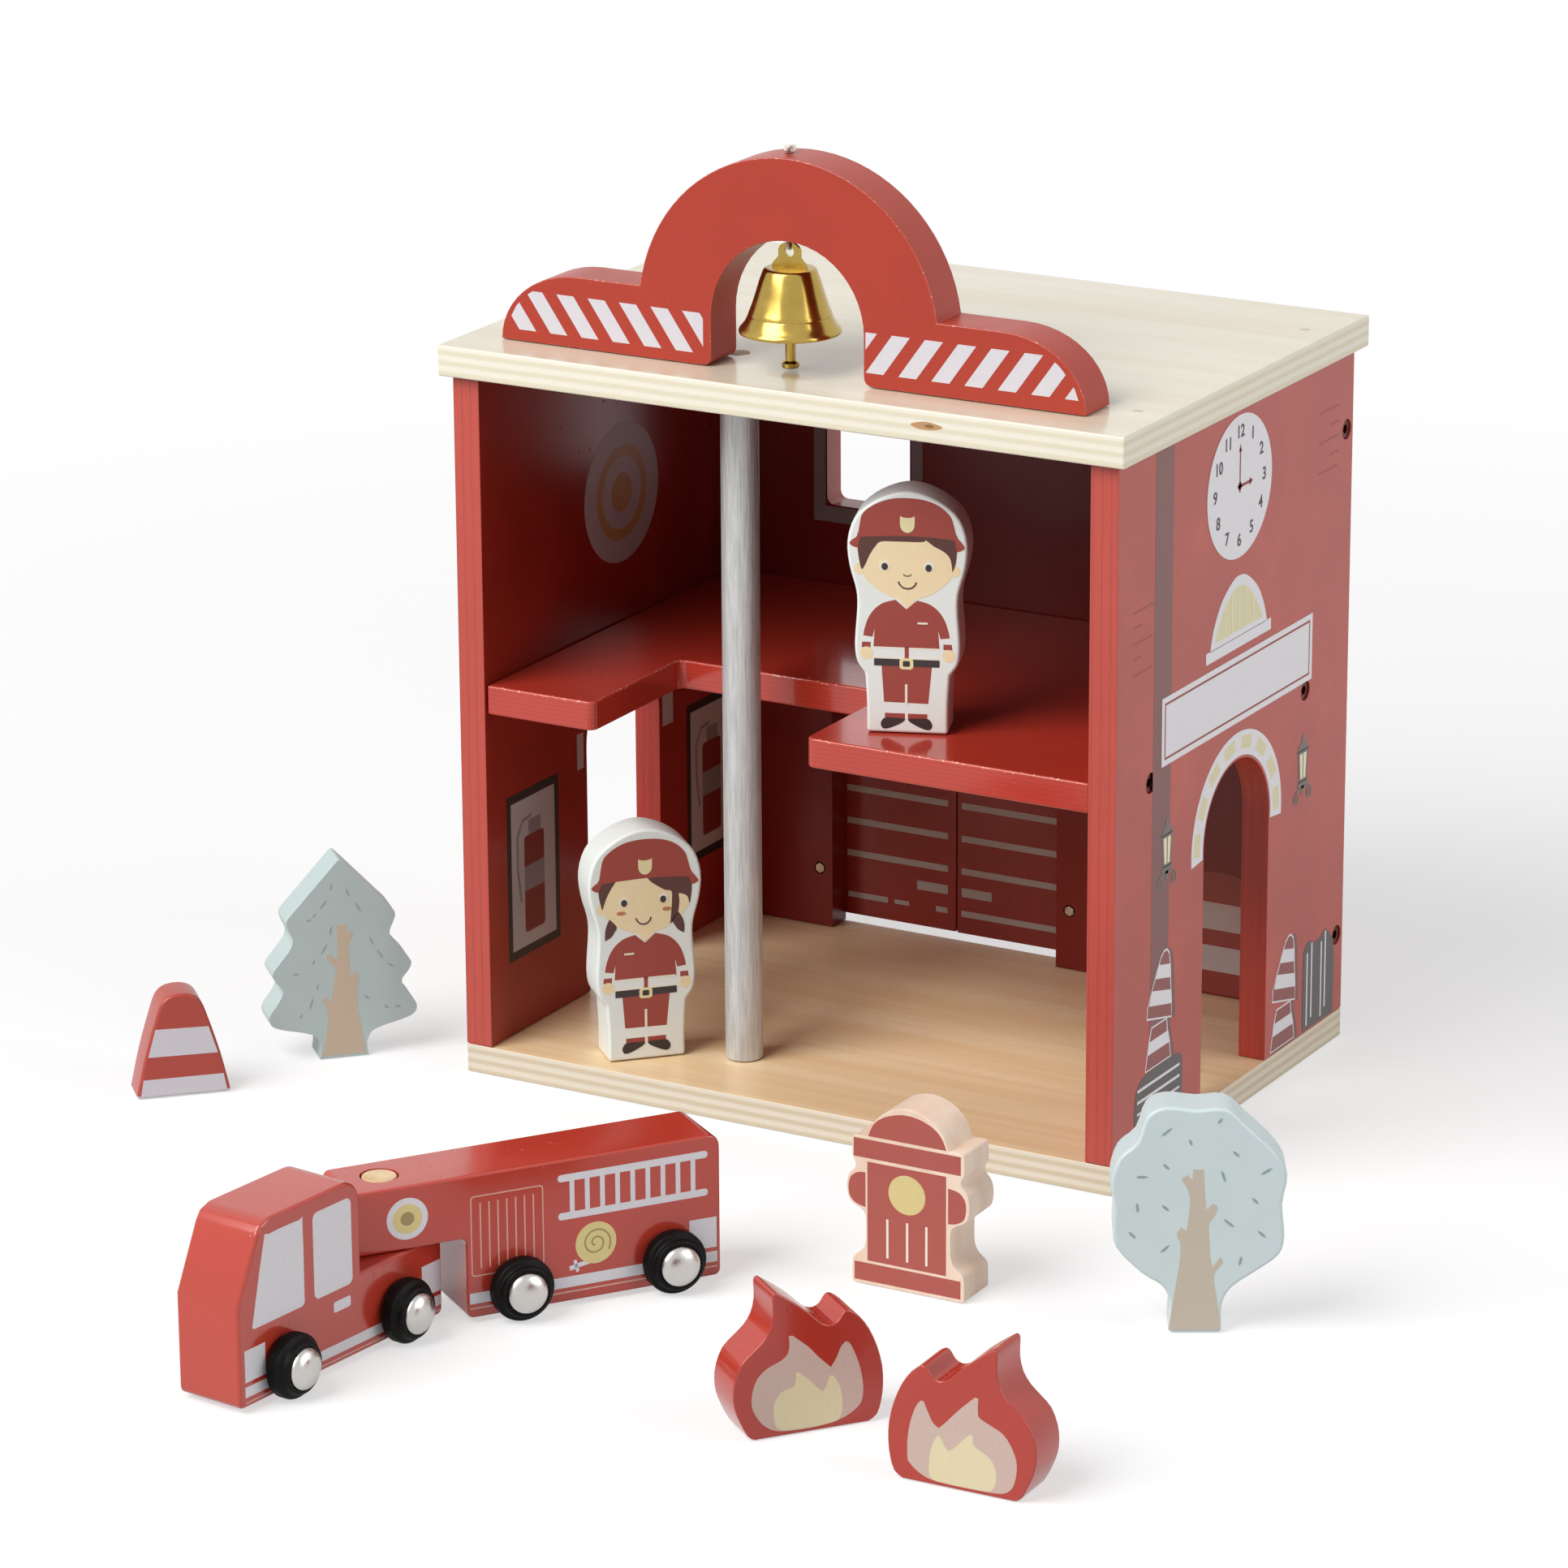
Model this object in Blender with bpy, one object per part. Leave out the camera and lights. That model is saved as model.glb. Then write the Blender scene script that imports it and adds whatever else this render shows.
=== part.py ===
# Toy fire station of painted plywood, with the loose pieces that belong to its set.
# Metres, +Z up. The open front faces -Y. The origin is the centre of the base board's underside.
import math

import bmesh
import bpy
from mathutils import Vector

# Fits shared by every piece
SEAT_GAP = 0.0003
BORE_GAP = 0.0003
CUT_OVERRUN = 0.003

# House boards
BASE_WIDTH = 0.250
BASE_DEPTH = 0.178
BASE_THICK = 0.010
WALL_THICK = 0.010
WALL_HEIGHT = 0.238
ROOF_THICK = 0.0108
ROOF_OVERHANG = 0.0037

# Mid floor, with the notch that the pole passes through
FLOOR_RISE = 0.1205
FLOOR_THICK = 0.0103
FLOOR_SETBACK = 0.001
NOTCH_WIDTH = 0.082
NOTCH_DEPTH = 0.059
NOTCH_SHIFT = -0.0315
NOTCH_ROUND = 0.003

# Arched doorway, the same in both side walls
DOOR_WIDTH = 0.050
DOOR_SPRING = 0.0905
DOOR_SHIFT = 0.002

# Window and gateway in the back wall
WINDOW_WIDTH = 0.0335
WINDOW_HEIGHT = 0.045
WINDOW_SILL = 0.1596
WINDOW_ROUND = 0.003
WINDOW_SHIFT = -0.0584
GATE_WIDTH = 0.0913
GATE_HEIGHT = 0.102
GATE_CENTRE_INSET = 0.097

# Gate leaves and the eyebolts and rods that they turn on
LEAF_THICK = 0.006
LEAF_LAP = 0.003
LEAF_LIFT = 0.0026
LEAF_MEETING_GAP = 0.0006
HINGE_OUTSET = 0.0052
EYE_WIRE_RADIUS = 0.0008
EYE_INNER_RADIUS = 0.0013
EYE_SHANK_RADIUS = 0.0009
EYE_NUT_RADIUS = 0.0019
EYE_NUT_LENGTH = 0.0028
EYE_POCKET_RADIUS = 0.0023
EYE_POCKET_DEPTH = 0.0034
EYE_END_INSET = 0.0195
ROD_RADIUS = 0.001
ROD_HEAD_RADIUS = 0.0019
ROD_HEAD_HEIGHT = 0.0008

# Slide pole, with a thin tenon into the base and through the roof
POLE_RADIUS = 0.0065
POLE_TENON_RADIUS = 0.0031
POLE_TENON_DEPTH = 0.006
POLE_X = -0.034
POLE_Y_INSET = 0.0345

# Furniture bolts through the side walls
BOLT_HEAD_RADIUS = 0.0032
BOLT_HEAD_HEIGHT = 0.0022
BOLT_SHANK_RADIUS = 0.0015
BOLT_LENGTH = 0.022
BOLT_SOCKET_RADIUS = 0.0017
BOLT_SOCKET_DEPTH = 0.0015
BOLT_SINK = 0.0006
FLOOR_BOLT_FRONT_INSET = 0.0255
FLOOR_BOLT_BACK_INSET = 0.0345
BACK_BOLT_LOW = 0.0285
BACK_BOLT_TOP_INSET = 0.0275

# Arched sign on the roof
SIGN_HALF_LENGTH = 0.110
SIGN_WING_HEIGHT = 0.0243
SIGN_WING_CURVE = 0.030
SIGN_ARCH_RADIUS = 0.0563
SIGN_MOUTH_RADIUS = 0.0287
SIGN_ARCH_RISE = 0.0165
SIGN_THICK = 0.017
SIGN_SHIFT = -0.0035
SIGN_SETBACK = 0.0167
SIGN_FOOT_ROUND = 0.003

# Brass bell, its clapper and its string
BELL_SHIFT = -0.0034
BELL_RIM_RADIUS = 0.0171
BELL_CROWN_RADIUS = 0.0089
BELL_HEIGHT = 0.0216
BELL_WALL = 0.0008
BELL_DROP = 0.0107
LUG_HALF_WIDTH = 0.0067
LUG_NECK_HALF_WIDTH = 0.0041
LUG_THICK = 0.0012
LUG_HOLE_RADIUS = 0.0018
LUG_EDGE = 0.0014
STAPLE_DROP = 0.0031
STAPLE_HALF_WIDTH = 0.0026
STAPLE_RADIUS = 0.0006
CLAPPER_RING_RADIUS = 0.0016
CLAPPER_RING_WIRE = 0.00055
CLAPPER_ROD_RADIUS = 0.0017
CLAPPER_FLANGE_RADIUS = 0.0029
CLAPPER_FLANGE_HEIGHT = 0.0021
CLAPPER_LENGTH = 0.0307
CORD_RADIUS = 0.0006
CORD_HOLE_RADIUS = 0.0015
KNOT_RADIUS = 0.0024
KNOT_HEIGHT = 0.0028
CORD_LOOP_HALF_WIDTH = 0.0017

# Figures
FIGURE_HEIGHT_SHARE = 0.7721
FIGURE_WIDTH = 0.040
FIGURE_THICK = 0.015
GIRL_X = -0.0619
GIRL_Y_INSET = 0.016
GIRL_TURN_DEG = 45.9
BOY_X = 0.0375
BOY_Y_INSET = 0.0203
BOY_TURN_DEG = 20.8

# Trees
PINE_HEIGHT = 0.0725
PINE_WIDTH = 0.0525
PINE_THICK = 0.014
PINE_ASIDE = 0.045
PINE_Y = -0.0982
PINE_TURN_DEG = 45.4
ROUND_TREE_HEIGHT = 0.075
ROUND_TREE_WIDTH = 0.0555
ROUND_TREE_THICK = 0.0155
ROUND_TREE_ASIDE = 0.0757
ROUND_TREE_Y = -0.1806
ROUND_TREE_TURN_DEG = 28.7

# Cone, hydrant and flames
CONE_HEIGHT = 0.037
CONE_WIDTH = 0.033
CONE_THICK = 0.014
CONE_ASIDE = 0.0722
CONE_Y = -0.1571
CONE_TURN_DEG = 44.5
HYDRANT_HEIGHT = 0.0618
HYDRANT_WIDTH = 0.0440
HYDRANT_THICK = 0.0165
HYDRANT_X = 0.1061
HYDRANT_AHEAD = 0.1056
HYDRANT_TURN_DEG = 0.3
FLAME_HEIGHT = 0.0465
FLAME_WIDTH = 0.049
FLAME_THICK = 0.016
FLAME_LEFT_X = 0.1327
FLAME_LEFT_AHEAD = 0.2171
FLAME_LEFT_TURN_DEG = 51.8
FLAME_RIGHT_X = 0.1935
FLAME_RIGHT_AHEAD = 0.2337
FLAME_RIGHT_TURN_DEG = 1.3

# Truck: lengths run forwards and backwards from the peg that joins its two halves
TRUCK_WIDTH = 0.025
TRUCK_LIFT = 0.0014
TRUCK_X = -0.0265
TRUCK_AHEAD = 0.2069
TRACTOR_TURN_DEG = 82.9
TRAILER_TURN_DEG = 54.3
TRACTOR_AHEAD = 0.082
TRACTOR_TAIL = 0.0147
CAB_BACK = 0.0240
CAB_HEIGHT = 0.0596
CAB_BRIDGE_HEIGHT = 0.0346
CAB_LEAN = 0.0095
CAB_BROW = 0.0551
CAB_BROW_RUN = 0.0065
CAB_REAR_ROUND = 0.0075
DECK_HEIGHT = 0.0281
TRAILER_NOSE = 0.0145
TRAILER_BODY_START = 0.0239
TRAILER_LENGTH = 0.1110
TRAILER_HEIGHT = 0.0496
BODY_ROUND = 0.0022
TRUCK_EDGE_EASE = 0.0012
PEG_RADIUS = 0.0056
PEG_DEPTH = 0.0135
PEG_HOLE_EASE = 0.0003

# Wheels and axles
TRACTOR_FRONT_AXLE = 0.0612
TRACTOR_REAR_AXLE = 0.0068
TRAILER_FRONT_AXLE = 0.0409
TRAILER_REAR_AXLE = 0.0932
TYRE_RADIUS = 0.0104
TYRE_WIDTH = 0.0072
TYRE_STEP_RADIUS = 0.0084
TYRE_TREAD_WIDTH = 0.0048
WHEEL_SIDE_GAP = 0.0010
HUB_RADIUS = 0.0067
HUB_BOSS_RADIUS = 0.0040
HUB_DOME_HEIGHT = 0.0030
HUB_LIP = 0.0006
AXLE_RADIUS = 0.0012

# Facet counts
ARC_STEPS = 12
SMALL_SIDES = 12
ROUND_SIDES = 24
HUB_SIDES = 20
BELL_SIDES = 32
WIRE_SIDES = 8
WIRE_STEPS = 16

# Outlines as shares of a piece's half width and height: across, up, and whether the corner is sharp
FIGURE_HALF_SHARES = [
    (0.00, 1.000, False), (0.31, 0.985, False), (0.63, 0.945, False), (0.88, 0.885, False),
    (1.00, 0.790, False), (0.97, 0.690, False), (0.86, 0.590, False), (0.84, 0.520, False),
    (0.87, 0.420, False), (0.88, 0.350, False), (0.84, 0.290, False), (0.71, 0.245, True),
    (0.68, 0.120, False), (0.68, 0.000, True),
]
PINE_HALF_SHARES = [
    (0.00, 0.998, False), (0.06, 0.982, False), (0.33, 0.876, False), (0.61, 0.766, False),
    (0.705, 0.728, False), (0.735, 0.700, False), (0.705, 0.664, False), (0.655, 0.620, False),
    (0.685, 0.575, False), (0.80, 0.520, False), (0.905, 0.474, False), (0.938, 0.445, False),
    (0.895, 0.410, False), (0.815, 0.375, False), (0.81, 0.345, False), (0.88, 0.300, False),
    (0.97, 0.256, False), (1.00, 0.222, False), (0.955, 0.188, False), (0.80, 0.165, False),
    (0.55, 0.143, False), (0.39, 0.120, False), (0.32, 0.080, False), (0.315, 0.040, False),
    (0.33, 0.000, True),
]
ROUND_TREE_RING_SHARES = [
    (-0.31, 0.000, True), (-0.30, 0.130, False), (-0.38, 0.205, False), (-0.61, 0.262, False),
    (-0.90, 0.375, False), (-0.94, 0.470, False), (-0.93, 0.560, False), (-0.97, 0.660, False),
    (-0.88, 0.775, False), (-0.68, 0.845, False), (-0.57, 0.960, False), (-0.36, 1.000, False),
    (-0.02, 0.988, False), (0.31, 0.992, False), (0.56, 0.910, False), (0.86, 0.800, False),
    (1.00, 0.700, False), (0.95, 0.570, False), (0.98, 0.430, False), (0.92, 0.345, False),
    (0.68, 0.275, False), (0.40, 0.200, False), (0.29, 0.120, False), (0.29, 0.000, True),
]
FLAME_RING_SHARES = [
    (-0.720, 0.000, True), (-0.805, 0.030, False), (-0.910, 0.138, False), (-0.980, 0.237, False),
    (-1.000, 0.333, False), (-0.976, 0.430, False), (-0.890, 0.538, False), (-0.747, 0.609, False),
    (-0.612, 0.671, False), (-0.514, 0.748, False), (-0.469, 0.849, False), (-0.473, 0.946, False),
    (-0.467, 0.986, False), (-0.433, 1.000, False), (-0.388, 0.988, False), (-0.204, 0.920, False),
    (-0.041, 0.852, False), (0.098, 0.781, False), (0.204, 0.733, False), (0.310, 0.718, False),
    (0.400, 0.740, False), (0.449, 0.778, False), (0.498, 0.802, False), (0.563, 0.796, False),
    (0.686, 0.744, False), (0.816, 0.645, False), (0.922, 0.516, False), (0.988, 0.376, False),
    (1.000, 0.247, False), (0.975, 0.135, False), (0.915, 0.040, False), (0.800, 0.000, True),
]
CONE_HALF_SHARES = [
    (0.00, 1.000, False), (0.26, 0.978, False), (0.43, 0.905, False), (0.57, 0.735, False),
    (0.80, 0.390, False), (1.00, 0.000, True),
]
# From the dome's top down: dome, cap bar, knob, body and foot, with rounded inner corners
HYDRANT_HALF_SHARES = [
    (0.000, 1.000, False), (0.218, 0.987, False), (0.418, 0.948, False), (0.573, 0.888, False),
    (0.650, 0.812, True), (0.850, 0.811, False), (0.895, 0.803, False), (0.914, 0.783, False),
    (0.914, 0.709, False), (0.900, 0.688, False), (0.859, 0.660, False), (0.873, 0.631, False),
    (0.950, 0.602, False), (0.991, 0.563, False), (1.000, 0.515, False), (0.973, 0.464, False),
    (0.891, 0.432, False), (0.777, 0.413, False), (0.714, 0.393, False), (0.691, 0.361, False),
    (0.691, 0.256, False), (0.714, 0.212, False), (0.777, 0.178, False), (0.864, 0.155, False),
    (0.905, 0.131, False), (0.914, 0.100, False), (0.914, 0.019, False), (0.900, 0.006, False),
    (0.864, 0.000, True),
]
# Bell profile: share of the flare from crown to rim, share of the height down from the crown
BELL_PROFILE_SHARES = [(0.00, 0.00), (0.17, 0.20), (0.36, 0.44), (0.56, 0.66), (0.73, 0.82), (0.90, 0.91), (1.00, 0.96),
                       (0.98, 1.00)]
# From the lug's foot to its neck: the share of the widening and the share of the height
LUG_FOOT_SHARES = [(1.00, 0.00), (0.92, 0.30), (0.62, 0.56), (0.24, 0.80), (0.00, 1.00)]

# Finishes: colour, roughness, metallic
RED_PAINT = ((0.42, 0.062, 0.045), 0.30, 0.0)
BARE_PLYWOOD = ((0.75, 0.66, 0.50), 0.45, 0.0)
BEECH = ((0.70, 0.50, 0.31), 0.45, 0.0)
SILVER_PAINT = ((0.45, 0.46, 0.47), 0.45, 0.35)
WHITE_PAINT = ((0.82, 0.81, 0.79), 0.45, 0.0)
PINE_PAINT = ((0.31, 0.38, 0.38), 0.5, 0.0)
PALE_BLUE_PAINT = ((0.55, 0.64, 0.65), 0.5, 0.0)
BRASS = ((0.70, 0.50, 0.15), 0.22, 1.0)
STEEL = ((0.60, 0.60, 0.60), 0.30, 1.0)
DARK_STEEL = ((0.12, 0.10, 0.10), 0.40, 1.0)
RUBBER = ((0.018, 0.018, 0.02), 0.55, 0.0)
STRING = ((0.80, 0.78, 0.74), 0.80, 0.0)

# Levels and planes worked out from the sizes above
BASE_TOP = BASE_THICK
WALL_BOTTOM = BASE_TOP + SEAT_GAP
WALL_TOP = WALL_BOTTOM + WALL_HEIGHT
ROOF_BOTTOM = WALL_TOP + SEAT_GAP
ROOF_TOP = ROOF_BOTTOM + ROOF_THICK
FLOOR_BOTTOM = BASE_TOP + FLOOR_RISE
FLOOR_TOP = FLOOR_BOTTOM + FLOOR_THICK
FIGURE_HEIGHT = FIGURE_HEIGHT_SHARE * (WALL_TOP - FLOOR_TOP)
HALF_WIDTH = BASE_WIDTH / 2
INNER_HALF_WIDTH = HALF_WIDTH - WALL_THICK
FRONT_Y = -BASE_DEPTH / 2
BACK_Y = BASE_DEPTH / 2
BACK_INNER_Y = BACK_Y - WALL_THICK
HINGE_Y = BACK_Y + SEAT_GAP + LEAF_THICK / 2
GATE_X = GATE_CENTRE_INSET - HALF_WIDTH
GATE_LEFT_X = GATE_X - GATE_WIDTH / 2 - HINGE_OUTSET
GATE_RIGHT_X = GATE_X + GATE_WIDTH / 2 + HINGE_OUTSET
LEAF_BOTTOM = BASE_TOP + LEAF_LIFT
LEAF_TOP = BASE_TOP + GATE_HEIGHT + LEAF_LAP
EYE_HEIGHTS = (LEAF_BOTTOM + EYE_END_INSET, LEAF_TOP - EYE_END_INSET)
EYE_RING_RADIUS = EYE_INNER_RADIUS + EYE_WIRE_RADIUS
EYE_OUTER_RADIUS = EYE_INNER_RADIUS + 2 * EYE_WIRE_RADIUS
POLE_Y = FRONT_Y + POLE_Y_INSET
SIGN_BOTTOM = ROOF_TOP + SEAT_GAP
SIGN_FRONT_Y = FRONT_Y - ROOF_OVERHANG + SIGN_SETBACK
SIGN_MID_Y = SIGN_FRONT_Y + SIGN_THICK / 2
SIGN_CROWN = SIGN_BOTTOM + SIGN_ARCH_RISE + SIGN_MOUTH_RADIUS
SIGN_TOP = SIGN_BOTTOM + SIGN_ARCH_RISE + SIGN_ARCH_RADIUS
BELL_X = SIGN_SHIFT + BELL_SHIFT
BELL_TOP = SIGN_CROWN - BELL_DROP
BELL_RIM = BELL_TOP - BELL_HEIGHT
LUG_HOLE_Z = SIGN_CROWN - 3 * SEAT_GAP - 2 * CORD_RADIUS - LUG_EDGE - LUG_HOLE_RADIUS
CORD_LOOP_TOP = SIGN_CROWN - 2 * SEAT_GAP - CORD_RADIUS
CORD_LOOP_BOTTOM = LUG_HOLE_Z + LUG_HOLE_RADIUS - SEAT_GAP - CORD_RADIUS
STAPLE_Z = BELL_TOP - STAPLE_DROP
TRUCK_Y = FRONT_Y - TRUCK_AHEAD
TRUCK_HALF_WIDTH = TRUCK_WIDTH / 2


def clear_scene():
    for item in list(bpy.data.objects):
        bpy.data.objects.remove(item, do_unlink=True)


def finish(obj, paint):
    """Give the piece one Principled material of its own."""
    colour, roughness, metallic = paint
    material = bpy.data.materials.new(obj.name)
    material.use_nodes = True
    shader = material.node_tree.nodes["Principled BSDF"]
    shader.inputs["Base Color"].default_value = (*colour, 1.0)
    shader.inputs["Roughness"].default_value = roughness
    shader.inputs["Metallic"].default_value = metallic
    obj.data.materials.clear()
    obj.data.materials.append(material)


def mesh_object(name, bm, paint=None):
    """Turn a finished bmesh into an object with outward normals."""
    bmesh.ops.recalc_face_normals(bm, faces=bm.faces)
    mesh = bpy.data.meshes.new(name)
    bm.to_mesh(mesh)
    bm.free()
    obj = bpy.data.objects.new(name, mesh)
    bpy.context.scene.collection.objects.link(obj)
    if paint:
        finish(obj, paint)
    return obj


def prism(name, outline, start, depth, plane, paint=None, ease=0.0):
    """Extrude an outline from the level start through depth. Plane XZ runs along Y, XY up Z, YZ along X."""
    place = {
        "XZ": lambda u, v, n: (u, n, v),
        "XY": lambda u, v, n: (u, v, n),
        "YZ": lambda u, v, n: (n, u, v),
    }[plane]
    bm = bmesh.new()
    ring = [bm.verts.new(place(u, v, start)) for u, v in outline]
    face = bm.faces.new(ring)
    moved = bmesh.ops.extrude_face_region(bm, geom=[face])["geom"]
    far = [item for item in moved if isinstance(item, bmesh.types.BMVert)]
    bmesh.ops.translate(bm, verts=far, vec=Vector(place(0, 0, depth)))
    if ease > 0.0:
        caps = {face, *[item for item in moved if isinstance(item, bmesh.types.BMFace)]}
        rim = [edge for edge in bm.edges if sum(f in caps for f in edge.link_faces) == 1]
        bmesh.ops.bevel(bm, geom=rim, offset=ease, segments=2, profile=0.5, affect="EDGES")
    return mesh_object(name, bm, paint)


def box(name, low, high, paint=None):
    outline = [(low[0], low[1]), (high[0], low[1]), (high[0], high[1]), (low[0], high[1])]
    return prism(name, outline, low[2], high[2] - low[2], "XY", paint)


def arc(cx, cz, rx, rz, start_deg, end_deg, steps):
    """Points on an ellipse arc, both ends included."""
    points = []
    for i in range(steps + 1):
        angle = math.radians(start_deg + (end_deg - start_deg) * i / steps)
        points.append((cx + rx * math.cos(angle), cz + rz * math.sin(angle)))
    return points


def rod(name, radius, start, end, sides, paint=None):
    """A straight cylinder between two points."""
    a = Vector(start)
    b = Vector(end)
    bm = bmesh.new()
    turn = Vector((0, 0, 1)).rotation_difference(b - a).to_matrix().to_4x4()
    turn.translation = (a + b) / 2
    bmesh.ops.create_cone(bm, cap_ends=True, segments=sides, radius1=radius, radius2=radius,
                          depth=(b - a).length, matrix=turn)
    return mesh_object(name, bm, paint)


def lathe(name, profile, axis_start, direction, sides, paint=None, closed=False):
    """Turn a profile of (radius, distance along the axis) about an axis."""
    bm = bmesh.new()
    turn = Vector((0, 0, 1)).rotation_difference(Vector(direction)).to_matrix().to_4x4()
    turn.translation = Vector(axis_start)
    verts = [bm.verts.new((r, 0, h)) for r, h in profile]
    edges = [bm.edges.new(pair) for pair in zip(verts, verts[1:])]
    if closed:
        edges.append(bm.edges.new((verts[-1], verts[0])))
    bmesh.ops.spin(bm, geom=verts + edges, cent=(0, 0, 0), axis=(0, 0, 1), angle=2 * math.pi,
                   steps=sides, use_merge=True, use_duplicate=False)
    bmesh.ops.remove_doubles(bm, verts=bm.verts, dist=CORD_RADIUS / 100)
    bmesh.ops.transform(bm, matrix=turn, verts=bm.verts)
    return mesh_object(name, bm, paint)


def tube(name, points, radius, sides, closed, paint=None):
    """A round wire that follows points in one plane across X or across Z."""
    path = [Vector(p) for p in points]
    flat_axis = min(range(3), key=lambda i: max(p[i] for p in path) - min(p[i] for p in path))
    side = Vector([1 if i == flat_axis else 0 for i in range(3)])
    bm = bmesh.new()
    rings = []
    count = len(path)
    for i, point in enumerate(path):
        before = path[i - 1] if closed or i > 0 else point
        after = path[(i + 1) % count] if closed or i < count - 1 else point
        lift = (after - before).normalized().cross(side)
        ring = []
        for k in range(sides):
            angle = 2 * math.pi * k / sides
            ring.append(bm.verts.new(point + radius * (side * math.cos(angle) + lift * math.sin(angle))))
        rings.append(ring)
    spans = count if closed else count - 1
    for i in range(spans):
        one = rings[i]
        two = rings[(i + 1) % count]
        for k in range(sides):
            m = (k + 1) % sides
            bm.faces.new((one[k], one[m], two[m], two[k]))
    if not closed:
        bm.faces.new(rings[0])
        bm.faces.new(rings[-1])
    return mesh_object(name, bm, paint)


def smooth_ring(points, steps):
    """A closed outline through (u, v, sharp) points, rounded between the ones that aren't sharp."""
    count = len(points)
    outline = []
    for i in range(count):
        p0, p1, p2, p3 = [Vector(points[(i + k) % count][:2]) for k in (-1, 0, 1, 2)]
        sharp_here = points[i][2]
        sharp_next = points[(i + 1) % count][2]
        out = p2 - p1 if sharp_here else (p2 - p0) / 2
        into = p2 - p1 if sharp_next else (p3 - p1) / 2
        pieces = 1 if sharp_here and sharp_next else steps
        for k in range(pieces):
            t = k / pieces
            a = 2 * t ** 3 - 3 * t ** 2 + 1
            b = t ** 3 - 2 * t ** 2 + t
            c = -2 * t ** 3 + 3 * t ** 2
            d = t ** 3 - t ** 2
            outline.append(tuple(a * p1 + b * out + c * p2 + d * into))
    return outline


def mirrored(half):
    """Both sides of an outline that is given from the top down on its right side."""
    left = [(-u, v, sharp) for u, v, sharp in reversed(half) if u > 0]
    if half[0][0] > 0:
        return half + left
    return half + left[:]


def cut(target, *tools):
    """Take each tool's shape out of the target."""
    combine(target, "DIFFERENCE", tools)


def unite(target, *tools):
    """Join each tool's shape to the target."""
    combine(target, "UNION", tools)


def combine(target, operation, tools):
    for tool in tools:
        step = target.modifiers.new("combine", "BOOLEAN")
        step.operation = operation
        step.solver = "EXACT"
        step.object = tool
        graph = bpy.context.evaluated_depsgraph_get()
        made = bpy.data.meshes.new_from_object(target.evaluated_get(graph))
        target.modifiers.clear()
        target.data = made
        bpy.data.objects.remove(tool, do_unlink=True)


def build_base_board():
    low = (-HALF_WIDTH, FRONT_Y, 0)
    high = (HALF_WIDTH, BACK_Y, BASE_TOP)
    board = box("base_board", low, high, BEECH)
    radius = POLE_TENON_RADIUS + BORE_GAP
    depth = POLE_TENON_DEPTH + SEAT_GAP
    cut(board, rod("tool", radius, (POLE_X, POLE_Y, BASE_TOP - depth),
                   (POLE_X, POLE_Y, BASE_TOP + CUT_OVERRUN), ROUND_SIDES))


def doorway_outline():
    """The door opening in YZ, running below the wall's foot."""
    half = DOOR_WIDTH / 2
    spring = BASE_TOP + DOOR_SPRING
    top = arc(DOOR_SHIFT, spring, half, half, 0, 180, 2 * ARC_STEPS)
    foot = WALL_BOTTOM - CUT_OVERRUN
    return [(DOOR_SHIFT - half, foot), (DOOR_SHIFT + half, foot)] + top


def bolt_places():
    """Y and Z of the four bolts in a side wall."""
    floor_z = FLOOR_BOTTOM + FLOOR_THICK / 2
    back_y = BACK_Y - WALL_THICK / 2
    return {
        "floor_front": (FRONT_Y + FLOOR_BOLT_FRONT_INSET, floor_z),
        "floor_back": (BACK_Y - FLOOR_BOLT_BACK_INSET, floor_z),
        "back_low": (back_y, BASE_TOP + BACK_BOLT_LOW),
        "back_high": (back_y, WALL_TOP - BACK_BOLT_TOP_INSET),
    }


def bolt_bores(side):
    """Tools for one side's bolt holes, shared by the wall and the boards behind it."""
    tools = []
    outer = side * HALF_WIDTH
    for y, z in bolt_places().values():
        seat = outer - side * (BOLT_SINK + BOLT_HEAD_HEIGHT + SEAT_GAP)
        mouth = outer + side * CUT_OVERRUN
        tip = outer - side * (BOLT_SINK + BOLT_LENGTH + SEAT_GAP)
        head = rod("tool", BOLT_HEAD_RADIUS + BORE_GAP, (seat, y, z), (mouth, y, z), ROUND_SIDES)
        shank = rod("tool", BOLT_SHANK_RADIUS + BORE_GAP, (tip, y, z), (mouth, y, z), SMALL_SIDES)
        tools += [head, shank]
    return tools


def build_side_wall(name, side):
    low_y = FRONT_Y
    outline = [(low_y, WALL_BOTTOM), (BACK_Y, WALL_BOTTOM), (BACK_Y, WALL_TOP), (low_y, WALL_TOP)]
    inner = side * INNER_HALF_WIDTH
    wall = prism(name, outline, inner, side * WALL_THICK, "YZ", RED_PAINT)
    start = inner - side * CUT_OVERRUN
    span = side * (WALL_THICK + 2 * CUT_OVERRUN)
    cut(wall, prism("tool", doorway_outline(), start, span, "YZ"))
    cut(wall, *bolt_bores(side))


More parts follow.
